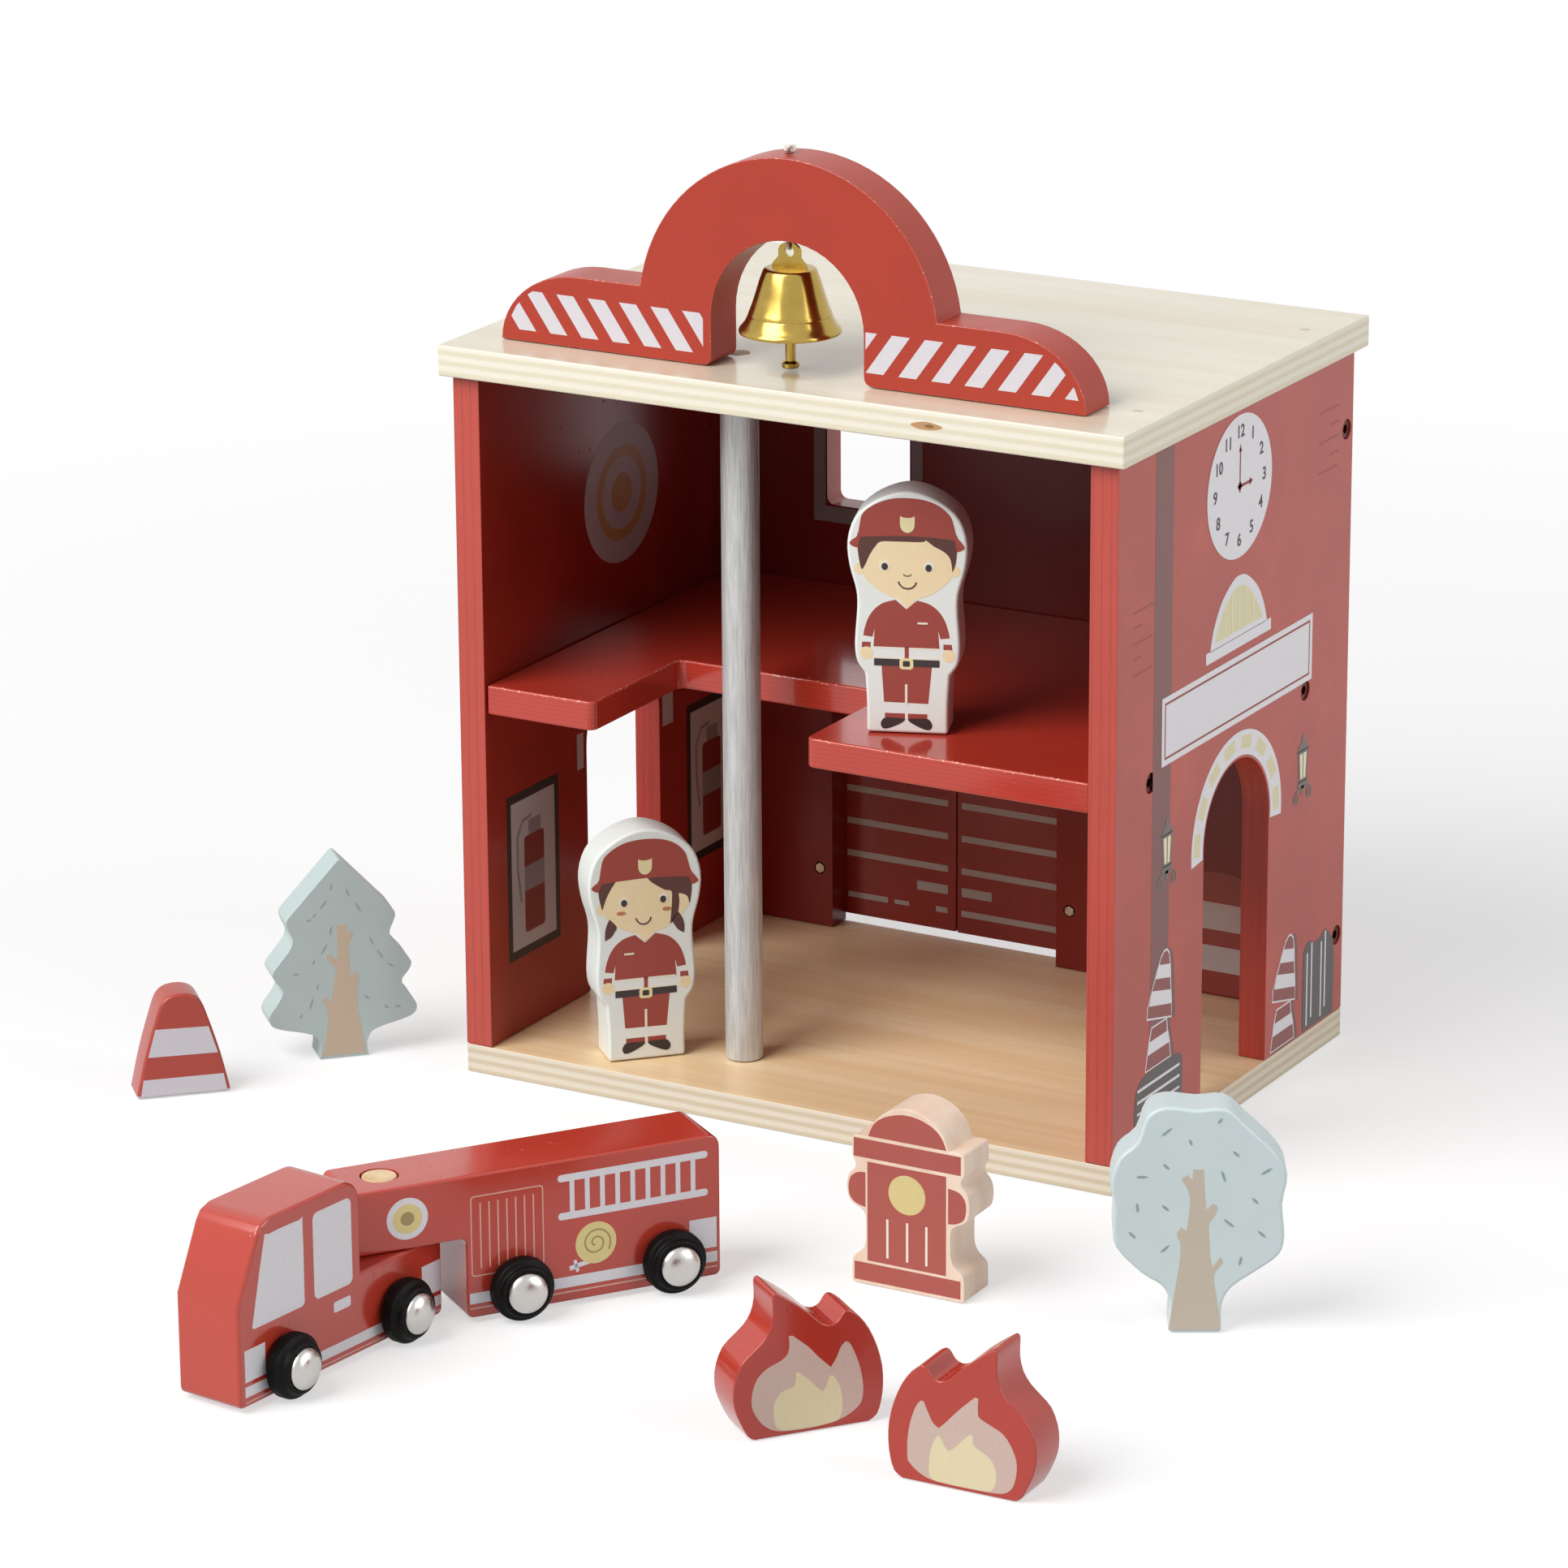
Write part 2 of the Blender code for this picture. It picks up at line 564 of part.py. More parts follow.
def build_wall_bolts(name, side):
    """Socket-head bolts: they hold the mid floor and the back wall between the side walls."""
    for place, (y, z) in bolt_places().items():
        face = side * (HALF_WIDTH - BOLT_SINK)
        neck = face - side * BOLT_HEAD_HEIGHT
        tip = face - side * BOLT_LENGTH
        profile = [(0, 0), (BOLT_HEAD_RADIUS, 0), (BOLT_HEAD_RADIUS, BOLT_HEAD_HEIGHT),
                   (BOLT_SHANK_RADIUS, BOLT_HEAD_HEIGHT), (BOLT_SHANK_RADIUS, BOLT_LENGTH), (0, BOLT_LENGTH)]
        bolt = lathe(f"{name}_{place}", profile, (face, y, z), (-side, 0, 0), SMALL_SIDES, DARK_STEEL)
        floor = face - side * BOLT_SOCKET_DEPTH
        mouth = face + side * CUT_OVERRUN
        cut(bolt, rod("tool", BOLT_SOCKET_RADIUS, (floor, y, z), (mouth, y, z), 6))


def gate_outline():
    half = GATE_WIDTH / 2
    foot = WALL_BOTTOM - CUT_OVERRUN
    top = BASE_TOP + GATE_HEIGHT
    return [(GATE_X - half, foot), (GATE_X + half, foot),
            (GATE_X + half, top), (GATE_X - half, top)]


def window_outline():
    """The window opening in XZ, with rounded corners."""
    half = WINDOW_WIDTH / 2 - WINDOW_ROUND
    low = BASE_TOP + WINDOW_SILL + WINDOW_ROUND
    high = BASE_TOP + WINDOW_SILL + WINDOW_HEIGHT - WINDOW_ROUND
    corners = [(half, low, -90), (half, high, 0), (-half, high, 90), (-half, low, 180)]
    outline = []
    for x, z, start in corners:
        outline += arc(WINDOW_SHIFT + x, z, WINDOW_ROUND, WINDOW_ROUND, start, start + 90, 4)
    return outline


def build_back_wall():
    half = INNER_HALF_WIDTH - SEAT_GAP
    low = (-half, BACK_INNER_Y, WALL_BOTTOM)
    high = (half, BACK_Y, WALL_TOP)
    wall = box("back_wall", low, high, RED_PAINT)
    start = BACK_INNER_Y - CUT_OVERRUN
    span = WALL_THICK + 2 * CUT_OVERRUN
    cut(wall, prism("tool", gate_outline(), start, span, "XZ"))
    cut(wall, prism("tool", window_outline(), start, span, "XZ"))
    for x in (GATE_LEFT_X, GATE_RIGHT_X):
        for z in EYE_HEIGHTS:
            pocket = BACK_INNER_Y + EYE_POCKET_DEPTH
            cut(wall, rod("tool", EYE_POCKET_RADIUS, (x, start, z), (x, pocket, z), ROUND_SIDES))
            cut(wall, rod("tool", EYE_SHANK_RADIUS + BORE_GAP, (x, start, z),
                          (x, BACK_Y + CUT_OVERRUN, z), SMALL_SIDES))
    cut(wall, *bolt_bores(-1), *bolt_bores(1))


def floor_outline():
    """The mid floor in XY, with its notch open to the front."""
    half = INNER_HALF_WIDTH - SEAT_GAP
    front = FRONT_Y + FLOOR_SETBACK
    back = BACK_INNER_Y - SEAT_GAP
    left = NOTCH_SHIFT - NOTCH_WIDTH / 2
    right = NOTCH_SHIFT + NOTCH_WIDTH / 2
    deep = FRONT_Y + NOTCH_DEPTH
    r = NOTCH_ROUND
    outline = [(-half, front)]
    outline += arc(left - r, front + r, r, r, -90, 0, 4)
    outline += arc(left + r, deep - r, r, r, 180, 90, 4)
    outline += arc(right - r, deep - r, r, r, 90, 0, 4)
    outline += arc(right + r, front + r, r, r, 180, 270, 4)
    outline += [(half, front), (half, back), (-half, back)]
    return outline


def build_mid_floor():
    floor = prism("mid_floor", floor_outline(), FLOOR_BOTTOM, FLOOR_THICK, "XY", RED_PAINT)
    cut(floor, *bolt_bores(-1), *bolt_bores(1))


def build_roof_board():
    half = HALF_WIDTH + ROOF_OVERHANG
    low = (-half, FRONT_Y - ROOF_OVERHANG, ROOF_BOTTOM)
    high = (half, BACK_Y + ROOF_OVERHANG, ROOF_TOP)
    board = box("roof_board", low, high, BARE_PLYWOOD)
    radius = POLE_TENON_RADIUS + BORE_GAP
    cut(board, rod("tool", radius, (POLE_X, POLE_Y, ROOF_BOTTOM - CUT_OVERRUN),
                   (POLE_X, POLE_Y, ROOF_TOP + CUT_OVERRUN), ROUND_SIDES))


def build_pole():
    foot = BASE_TOP + SEAT_GAP
    head = ROOF_BOTTOM - SEAT_GAP
    low = BASE_TOP - POLE_TENON_DEPTH
    profile = [(0, 0), (POLE_TENON_RADIUS, 0), (POLE_TENON_RADIUS, foot - low), (POLE_RADIUS, foot - low),
               (POLE_RADIUS, head - low), (POLE_TENON_RADIUS, head - low),
               (POLE_TENON_RADIUS, ROOF_TOP - low), (0, ROOF_TOP - low)]
    lathe("pole", profile, (POLE_X, POLE_Y, low), (0, 0, 1), ROUND_SIDES, SILVER_PAINT)


def build_gate_leaf(name, hinge_x, toward):
    """A leaf rounded about its hinge, cut back round both eyes and bored for the rod."""
    r = LEAF_THICK / 2
    middle = GATE_X - toward * LEAF_MEETING_GAP / 2
    start = 90 if toward > 0 else -90
    barrel = arc(hinge_x, HINGE_Y, r, r, start, start + 180, ARC_STEPS)
    ends = [(middle, HINGE_Y - toward * r), (middle, HINGE_Y + toward * r)]
    leaf = prism(name, barrel + ends, LEAF_BOTTOM, LEAF_TOP - LEAF_BOTTOM, "XY", RED_PAINT)
    reach = EYE_OUTER_RADIUS + 2 * SEAT_GAP
    for z in EYE_HEIGHTS:
        xs = sorted((hinge_x - toward * (reach + CUT_OVERRUN), hinge_x + toward * reach))
        low = (xs[0], HINGE_Y - LEAF_THICK, z - EYE_WIRE_RADIUS - SEAT_GAP)
        high = (xs[1], HINGE_Y + LEAF_THICK, z + EYE_WIRE_RADIUS + SEAT_GAP)
        cut(leaf, box("tool", low, high))
    cut(leaf, rod("tool", ROD_RADIUS + BORE_GAP, (hinge_x, HINGE_Y, LEAF_BOTTOM - CUT_OVERRUN),
                  (hinge_x, HINGE_Y, LEAF_TOP + CUT_OVERRUN), SMALL_SIDES))


def build_gate_rod(name, hinge_x):
    head = LEAF_TOP + SEAT_GAP - LEAF_BOTTOM
    profile = [(0, 0), (ROD_RADIUS, 0), (ROD_RADIUS, head), (ROD_HEAD_RADIUS, head),
               (ROD_HEAD_RADIUS, head + ROD_HEAD_HEIGHT), (0, head + ROD_HEAD_HEIGHT)]
    lathe(name, profile, (hinge_x, HINGE_Y, LEAF_BOTTOM), (0, 0, 1), SMALL_SIDES, STEEL)


def build_gate_eye(name, x, z):
    """An eyebolt: its eye holds the rod outside, its nut sits in a pocket inside the room."""
    ring = [(px, py, z) for px, py in arc(x, HINGE_Y, EYE_RING_RADIUS, EYE_RING_RADIUS, 0, 360, WIRE_STEPS)[:-1]]
    eye = tube(name, ring, EYE_WIRE_RADIUS, WIRE_SIDES, True)
    nut_face = BACK_INNER_Y + EYE_POCKET_DEPTH - SEAT_GAP
    nut_end = nut_face - EYE_NUT_LENGTH
    shank = rod("tool", EYE_SHANK_RADIUS, (x, HINGE_Y - EYE_RING_RADIUS, z), (x, nut_end, z), SMALL_SIDES)
    nut = rod("tool", EYE_NUT_RADIUS, (x, nut_face, z), (x, nut_end - SEAT_GAP, z), 6)
    unite(eye, shank, nut)
    finish(eye, STEEL)


def sign_outline():
    """The sign in XZ: two wings with rounded ends and an arch with a round mouth."""
    floor = SIGN_BOTTOM
    centre = floor + SIGN_ARCH_RISE
    wing = SIGN_WING_HEIGHT
    curve = SIGN_WING_CURVE
    root_deg = math.degrees(math.asin((wing - SIGN_ARCH_RISE) / SIGN_ARCH_RADIUS))
    r = SIGN_FOOT_ROUND
    mouth = SIGN_MOUTH_RADIUS
    outline = arc(SIGN_HALF_LENGTH - curve, floor, curve, wing, 0, 90, ARC_STEPS)
    outline += arc(0, centre, SIGN_ARCH_RADIUS, SIGN_ARCH_RADIUS, root_deg, 180 - root_deg, 3 * ARC_STEPS)
    outline += arc(curve - SIGN_HALF_LENGTH, floor, curve, wing, 90, 180, ARC_STEPS)
    outline += arc(-mouth - r, floor + r, r, r, -90, 0, 4)
    outline += arc(0, centre, mouth, mouth, 180, 0, 2 * ARC_STEPS)
    outline += arc(mouth + r, floor + r, r, r, 180, 270, 4)
    return [(SIGN_SHIFT + x, z) for x, z in outline]


def build_sign_arch():
    sign = prism("sign_arch", sign_outline(), SIGN_FRONT_Y, SIGN_THICK, "XZ", RED_PAINT)
    cut(sign, rod("tool", CORD_HOLE_RADIUS, (BELL_X, SIGN_MID_Y, SIGN_CROWN - CUT_OVERRUN),
                  (BELL_X, SIGN_MID_Y, SIGN_TOP + CUT_OVERRUN), SMALL_SIDES))


def bell_profile():
    """Outer and inner bell curve in one closed line from the crown down and back."""
    flare = BELL_RIM_RADIUS - BELL_CROWN_RADIUS
    outer = [(BELL_CROWN_RADIUS + u * flare, -v * BELL_HEIGHT) for u, v in BELL_PROFILE_SHARES]
    inner = [(r - BELL_WALL, h) for r, h in reversed(outer[1:])]
    inner.append((BELL_CROWN_RADIUS - BELL_WALL, -BELL_WALL))
    return [(0, 0)] + outer + inner + [(0, -BELL_WALL)]


def build_bell():
    """The shell with its lug above and the staple that the clapper hangs on below the crown."""
    bell = lathe("bell", bell_profile(), (BELL_X, SIGN_MID_Y, BELL_TOP), (0, 0, 1), BELL_SIDES)
    foot = BELL_TOP - BELL_WALL / 2
    neck = LUG_HOLE_Z - LUG_HOLE_RADIUS
    cap = LUG_HOLE_RADIUS + LUG_EDGE
    widening = LUG_HALF_WIDTH - LUG_NECK_HALF_WIDTH
    side = [(LUG_NECK_HALF_WIDTH + u * widening, foot + v * (neck - foot)) for u, v in LUG_FOOT_SHARES]
    outline = [(BELL_X + x, z) for x, z in side]
    outline += arc(BELL_X, LUG_HOLE_Z, LUG_NECK_HALF_WIDTH, cap, 15, 165, ARC_STEPS)
    outline += [(BELL_X - x, z) for x, z in reversed(side)]
    lug = prism("tool", outline, SIGN_MID_Y - LUG_THICK / 2, LUG_THICK, "XZ")
    far = SIGN_MID_Y + LUG_THICK
    cut(lug, rod("tool_hole", LUG_HOLE_RADIUS, (BELL_X, SIGN_MID_Y - LUG_THICK, LUG_HOLE_Z),
                 (BELL_X, far, LUG_HOLE_Z), ROUND_SIDES))
    half = STAPLE_HALF_WIDTH
    hang = STAPLE_Z + half
    bend = [(BELL_X, SIGN_MID_Y + y, z) for y, z in arc(0, hang, half, half, 180, 360, ARC_STEPS)]
    bend = [(BELL_X, SIGN_MID_Y - half, foot)] + bend + [(BELL_X, SIGN_MID_Y + half, foot)]
    staple = tube("tool", bend, STAPLE_RADIUS, WIRE_SIDES, False)
    unite(bell, lug, staple)
    finish(bell, BRASS)


def build_clapper():
    """A rod with a flanged end, hung by its ring on the bell's staple."""
    ring = arc(BELL_X, STAPLE_Z, CLAPPER_RING_RADIUS, CLAPPER_RING_RADIUS, 0, 360, WIRE_STEPS)[:-1]
    clapper = tube("clapper", [(x, SIGN_MID_Y, z) for x, z in ring], CLAPPER_RING_WIRE, WIRE_SIDES, True)
    top = STAPLE_Z - CLAPPER_RING_RADIUS
    length = CLAPPER_LENGTH - CLAPPER_RING_RADIUS
    shoulder = length - CLAPPER_FLANGE_HEIGHT
    profile = [(0, 0), (CLAPPER_RING_WIRE, 0), (CLAPPER_ROD_RADIUS, CLAPPER_ROD_RADIUS),
               (CLAPPER_ROD_RADIUS, shoulder), (CLAPPER_FLANGE_RADIUS, shoulder),
               (CLAPPER_FLANGE_RADIUS, length), (0, length)]
    unite(clapper, lathe("tool", profile, (BELL_X, SIGN_MID_Y, top), (0, 0, -1), SMALL_SIDES))
    finish(clapper, BRASS)


def build_bell_cord():
    """The knot above the arch and the string through it."""
    low = SIGN_CROWN
    rise = math.sqrt(SIGN_ARCH_RADIUS ** 2 - (abs(BELL_SHIFT) + KNOT_RADIUS) ** 2)
    top = SIGN_BOTTOM + SIGN_ARCH_RISE + rise
    seat = SIGN_TOP + SEAT_GAP - low
    if seat < top - low:
        seat = top - low
    profile = [(0, 0), (CORD_RADIUS, 0), (CORD_RADIUS, seat)]
    profile += [(KNOT_RADIUS * math.sin(a), seat + KNOT_HEIGHT * (1 - math.cos(a)) / 2)
                for a in [math.pi * k / 8 for k in range(2, 8)]]
    profile.append((0, seat + KNOT_HEIGHT))
    lathe("bell_cord", profile, (BELL_X, SIGN_MID_Y, low), (0, 0, 1), SMALL_SIDES, STRING)


def build_cord_loop():
    centre = (CORD_LOOP_TOP + CORD_LOOP_BOTTOM) / 2
    rise = (CORD_LOOP_TOP - CORD_LOOP_BOTTOM) / 2
    ring = arc(SIGN_MID_Y, centre, CORD_LOOP_HALF_WIDTH, rise, 0, 360, WIRE_STEPS)[:-1]
    tube("bell_cord_loop", [(BELL_X, y, z) for y, z in ring], CORD_RADIUS, WIRE_SIDES, True, STRING)


def stand(obj, x, y, z, turn_deg):
    """Place a loose piece by the middle of its front foot line."""
    obj.location = (x, y, z)
    obj.rotation_euler = (0, 0, math.radians(turn_deg))


def scaled(shares, width, height, mirror=1):
    ring = [(mirror * u * width / 2, v * height, sharp) for u, v, sharp in shares]
    return ring if mirror > 0 else list(reversed(ring))


def build_figures():
    ring = smooth_ring(scaled(mirrored(FIGURE_HALF_SHARES), FIGURE_WIDTH, FIGURE_HEIGHT), 3)
    girl = prism("girl_figure", ring, 0, FIGURE_THICK, "XZ", WHITE_PAINT)
    stand(girl, GIRL_X, FRONT_Y + GIRL_Y_INSET, BASE_TOP + SEAT_GAP, GIRL_TURN_DEG)
    boy = prism("boy_figure", ring, 0, FIGURE_THICK, "XZ", WHITE_PAINT)
    stand(boy, BOY_X, FRONT_Y + BOY_Y_INSET, FLOOR_TOP + SEAT_GAP, BOY_TURN_DEG)


def build_trees():
    ring = smooth_ring(scaled(mirrored(PINE_HALF_SHARES), PINE_WIDTH, PINE_HEIGHT), 3)
    pine = prism("pine_tree", ring, 0, PINE_THICK, "XZ", PINE_PAINT)
    stand(pine, -HALF_WIDTH - PINE_ASIDE, PINE_Y, 0, PINE_TURN_DEG)
    ring = smooth_ring(scaled(ROUND_TREE_RING_SHARES, ROUND_TREE_WIDTH, ROUND_TREE_HEIGHT), 3)
    tree = prism("round_tree", ring, 0, ROUND_TREE_THICK, "XZ", PALE_BLUE_PAINT)
    stand(tree, HALF_WIDTH + ROUND_TREE_ASIDE, ROUND_TREE_Y, 0, ROUND_TREE_TURN_DEG)


def build_cone():
    ring = smooth_ring(scaled(mirrored(CONE_HALF_SHARES), CONE_WIDTH, CONE_HEIGHT), 3)
    cone = prism("traffic_cone", ring, 0, CONE_THICK, "XZ", RED_PAINT)
    stand(cone, -HALF_WIDTH - CONE_ASIDE, CONE_Y, 0, CONE_TURN_DEG)


def build_hydrant():
    ring = smooth_ring(scaled(mirrored(HYDRANT_HALF_SHARES), HYDRANT_WIDTH, HYDRANT_HEIGHT), 2)
    hydrant = prism("hydrant", ring, 0, HYDRANT_THICK, "XZ", BEECH)
    stand(hydrant, HYDRANT_X, FRONT_Y - HYDRANT_AHEAD, 0, HYDRANT_TURN_DEG)


def build_flames():
    ring = smooth_ring(scaled(FLAME_RING_SHARES, FLAME_WIDTH, FLAME_HEIGHT), 2)
    left = prism("flame_left", ring, 0, FLAME_THICK, "XZ", RED_PAINT)
    stand(left, FLAME_LEFT_X, FRONT_Y - FLAME_LEFT_AHEAD, 0, FLAME_LEFT_TURN_DEG)
    ring = smooth_ring(scaled(FLAME_RING_SHARES, FLAME_WIDTH, FLAME_HEIGHT, -1), 2)
    right = prism("flame_right", ring, 0, FLAME_THICK, "XZ", RED_PAINT)
    stand(right, FLAME_RIGHT_X, FRONT_Y - FLAME_RIGHT_AHEAD, 0, FLAME_RIGHT_TURN_DEG)


def truck_half(turn_deg):
    """An empty on the peg's axis that carries one half of the truck."""
    empty = bpy.data.objects.new(f"truck_pivot_{turn_deg:.0f}", None)
    bpy.context.scene.collection.objects.link(empty)
    stand(empty, TRUCK_X, TRUCK_Y, 0, turn_deg)
    return empty


def tractor_outline():
    """Side view: the front is at -TRACTOR_AHEAD and the deck's tail at +TRACTOR_TAIL."""
    r = BODY_ROUND
    low = TRUCK_LIFT
    tail = TRACTOR_TAIL
    lean_top = (-TRACTOR_AHEAD + CAB_LEAN, CAB_BROW)
    rear = CAB_REAR_ROUND
    outline = arc(-TRACTOR_AHEAD + r, low + r, r, r, 270, 180, 4)
    outline += [(-TRACTOR_AHEAD, CAB_BRIDGE_HEIGHT), lean_top]
    outline += [(lean_top[0] + CAB_BROW_RUN / 3, (CAB_BROW + 2 * CAB_HEIGHT) / 3),
                (lean_top[0] + CAB_BROW_RUN, CAB_HEIGHT)]
    outline += arc(-CAB_BACK - rear, CAB_HEIGHT - rear, rear, rear, 90, 0, 6)
    outline += [(-CAB_BACK, DECK_HEIGHT)]
    outline += arc(tail - r, DECK_HEIGHT - r, r, r, 90, 0, 4)
    outline += arc(tail - r, low + r, r, r, 0, -90, 4)
    return outline


def trailer_outline():
    r = BODY_ROUND
    low = TRUCK_LIFT
    neck = DECK_HEIGHT + SEAT_GAP
    outline = arc(r - TRAILER_NOSE, neck + r, r, r, 270, 180, 4)
    outline += arc(r - TRAILER_NOSE, TRAILER_HEIGHT - r, r, r, 180, 90, 4)
    outline += arc(TRAILER_LENGTH - 2 * r, TRAILER_HEIGHT - 2 * r, 2 * r, 2 * r, 90, 0, 6)
    outline += arc(TRAILER_LENGTH - r, low + r, r, r, 0, -90, 4)
    outline += arc(TRAILER_BODY_START + r, low + r, r, r, 270, 180, 4)
    outline += arc(TRAILER_BODY_START - r, neck - r, r, r, 0, 90, 4)
    return outline


def build_truck_body(name, outline, axles, empty, peg_low, peg_high, peg_gap):
    """Extrude the side view across the truck, then bore the axles and the peg hole."""
    body = prism(name, outline, -TRUCK_HALF_WIDTH, TRUCK_WIDTH, "XZ", RED_PAINT, TRUCK_EDGE_EASE)
    side = TRUCK_HALF_WIDTH + CUT_OVERRUN
    for x in axles:
        cut(body, rod("tool", AXLE_RADIUS + BORE_GAP, (x, -side, TYRE_RADIUS), (x, side, TYRE_RADIUS), SMALL_SIDES))
    cut(body, rod("tool", PEG_RADIUS + peg_gap, (0, 0, peg_low), (0, 0, peg_high), ROUND_SIDES))
    body.parent = empty


def build_wheel_set(name, x, empty):
    """One axle with a tyre and a domed hub at each end."""
    hub_face = TYRE_WIDTH - HUB_LIP
    end = TRUCK_HALF_WIDTH + WHEEL_SIDE_GAP + TYRE_TREAD_WIDTH
    axle = rod(f"{name}_axle", AXLE_RADIUS, (x, -end, TYRE_RADIUS), (x, end, TYRE_RADIUS), SMALL_SIDES, STEEL)
    axle.parent = empty
    inner = HUB_BOSS_RADIUS + BORE_GAP
    recess = HUB_RADIUS + BORE_GAP
    ease = (TYRE_RADIUS - TYRE_STEP_RADIUS) / 3
    tyre_profile = [(inner, 0), (TYRE_RADIUS - ease, 0), (TYRE_RADIUS, ease),
                    (TYRE_RADIUS, TYRE_TREAD_WIDTH - ease), (TYRE_RADIUS - ease, TYRE_TREAD_WIDTH),
                    (TYRE_STEP_RADIUS, TYRE_TREAD_WIDTH + ease / 2), (TYRE_STEP_RADIUS - ease / 2, TYRE_WIDTH),
                    (recess, TYRE_WIDTH), (recess, hub_face - SEAT_GAP), (inner, hub_face - SEAT_GAP)]
    bore_end = TYRE_TREAD_WIDTH + SEAT_GAP
    dome = [(HUB_RADIUS * math.cos(a), hub_face + HUB_LIP + HUB_DOME_HEIGHT * math.sin(a))
            for a in [math.pi / 2 * k / 5 for k in range(5)]]
    hub_profile = [(0, bore_end), (AXLE_RADIUS + BORE_GAP, bore_end), (AXLE_RADIUS + BORE_GAP, SEAT_GAP),
                   (HUB_BOSS_RADIUS, SEAT_GAP), (HUB_BOSS_RADIUS, hub_face), (HUB_RADIUS, hub_face)]
    hub_profile += dome + [(0, hub_face + HUB_LIP + HUB_DOME_HEIGHT)]
    for side, word in ((-1, "right"), (1, "left")):
        start = (x, side * (TRUCK_HALF_WIDTH + WHEEL_SIDE_GAP), TYRE_RADIUS)
        out = (0, side, 0)
        tyre = lathe(f"{name}_tyre_{word}", tyre_profile, start, out, ROUND_SIDES, RUBBER, closed=True)
        hub = lathe(f"{name}_hub_{word}", hub_profile, start, out, HUB_SIDES, STEEL)
        tyre.parent = empty
        hub.parent = empty


def build_truck():
    tractor = truck_half(TRACTOR_TURN_DEG)
    trailer = truck_half(TRAILER_TURN_DEG)
    front_axles = (-TRACTOR_FRONT_AXLE, -TRACTOR_REAR_AXLE)
    rear_axles = (TRAILER_FRONT_AXLE, TRAILER_REAR_AXLE)
    seat = DECK_HEIGHT - PEG_DEPTH
    over = TRAILER_HEIGHT + CUT_OVERRUN
    build_truck_body("tractor_body", tractor_outline(), front_axles, tractor, seat, over, BORE_GAP)
    build_truck_body("trailer_body", trailer_outline(), rear_axles, trailer, seat, over, BORE_GAP + PEG_HOLE_EASE)
    peg = rod("truck_peg", PEG_RADIUS, (0, 0, seat + SEAT_GAP), (0, 0, TRAILER_HEIGHT), ROUND_SIDES, BEECH)
    peg.parent = tractor
    for name, x, empty in (("tractor_front", front_axles[0], tractor), ("tractor_rear", front_axles[1], tractor),
                           ("trailer_front", rear_axles[0], trailer), ("trailer_rear", rear_axles[1], trailer)):
        build_wheel_set(name, x, empty)


def build_house():
    build_base_board()
    for name, side in (("left", -1), ("right", 1)):
        build_side_wall(f"{name}_wall", side)
        build_wall_bolts(f"{name}_bolt", side)
    build_back_wall()
    build_mid_floor()
    build_roof_board()
    build_pole()


def build_gates():
    for name, x, toward in (("left", GATE_LEFT_X, 1), ("right", GATE_RIGHT_X, -1)):
        build_gate_leaf(f"gate_leaf_{name}", x, toward)
        build_gate_rod(f"gate_rod_{name}", x)
        for level, z in zip(("low", "high"), EYE_HEIGHTS):
            build_gate_eye(f"gate_eye_{name}_{level}", x, z)


def build_sign_and_bell():
    build_sign_arch()
    build_bell()
    build_clapper()
    build_bell_cord()
    build_cord_loop()


clear_scene()
build_house()
build_gates()
build_sign_and_bell()
build_figures()
build_trees()
build_cone()
build_hydrant()
build_flames()
build_truck()
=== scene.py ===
import math

import bmesh
import bpy
from mathutils import Matrix, Vector


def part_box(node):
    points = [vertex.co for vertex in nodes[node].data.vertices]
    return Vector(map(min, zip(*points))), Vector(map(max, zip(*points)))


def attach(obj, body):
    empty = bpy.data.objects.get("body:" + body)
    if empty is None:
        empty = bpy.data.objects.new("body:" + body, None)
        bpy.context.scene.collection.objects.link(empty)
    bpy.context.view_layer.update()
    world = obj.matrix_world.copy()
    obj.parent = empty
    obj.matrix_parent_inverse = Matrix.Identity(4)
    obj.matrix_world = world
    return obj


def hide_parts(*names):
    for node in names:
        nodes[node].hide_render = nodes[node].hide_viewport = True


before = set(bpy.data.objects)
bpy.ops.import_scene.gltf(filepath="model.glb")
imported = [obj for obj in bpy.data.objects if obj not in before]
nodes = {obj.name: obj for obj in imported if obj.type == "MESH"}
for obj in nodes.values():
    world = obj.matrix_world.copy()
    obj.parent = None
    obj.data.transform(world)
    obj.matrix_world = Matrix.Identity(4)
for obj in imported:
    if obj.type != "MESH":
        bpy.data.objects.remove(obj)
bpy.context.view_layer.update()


# Base board. Seven-layer plywood 10 mm thick with a beech veneer on top, sanded and
# clear lacquered. The walls and the pole stand on it.

def ink(code):
    """The linear colour of an sRGB hex code."""
    shares = [int(code[i:i + 2], 16) / 255 for i in (0, 2, 4)]
    return [s / 12.92 if s <= 0.04045 else ((s + 0.055) / 1.055) ** 2.4 for s in shares] + [1.0]


def add(tree, kind, sockets=None, **settings):
    """Adds a node, with its settings, its values and the links into it."""
    node = tree.nodes.new(kind)
    for name, value in settings.items():
        setattr(node, name, value)
    for socket, value in (sockets or {}).items():
        if isinstance(value, bpy.types.NodeSocket):
            tree.links.new(value, node.inputs[socket])
        else:
            node.inputs[socket].default_value = value
    return node


def maths(tree, operation, *values):
    return add(tree, "ShaderNodeMath", dict(enumerate(values)), operation=operation).outputs[0]


def spread(tree, value, low, high, start=0.0, end=1.0):
    """What lies between low and high, spread over start to end."""
    return add(tree, "ShaderNodeMapRange", {0: value, 1: low, 2: high, 3: start, 4: end}).outputs[0]


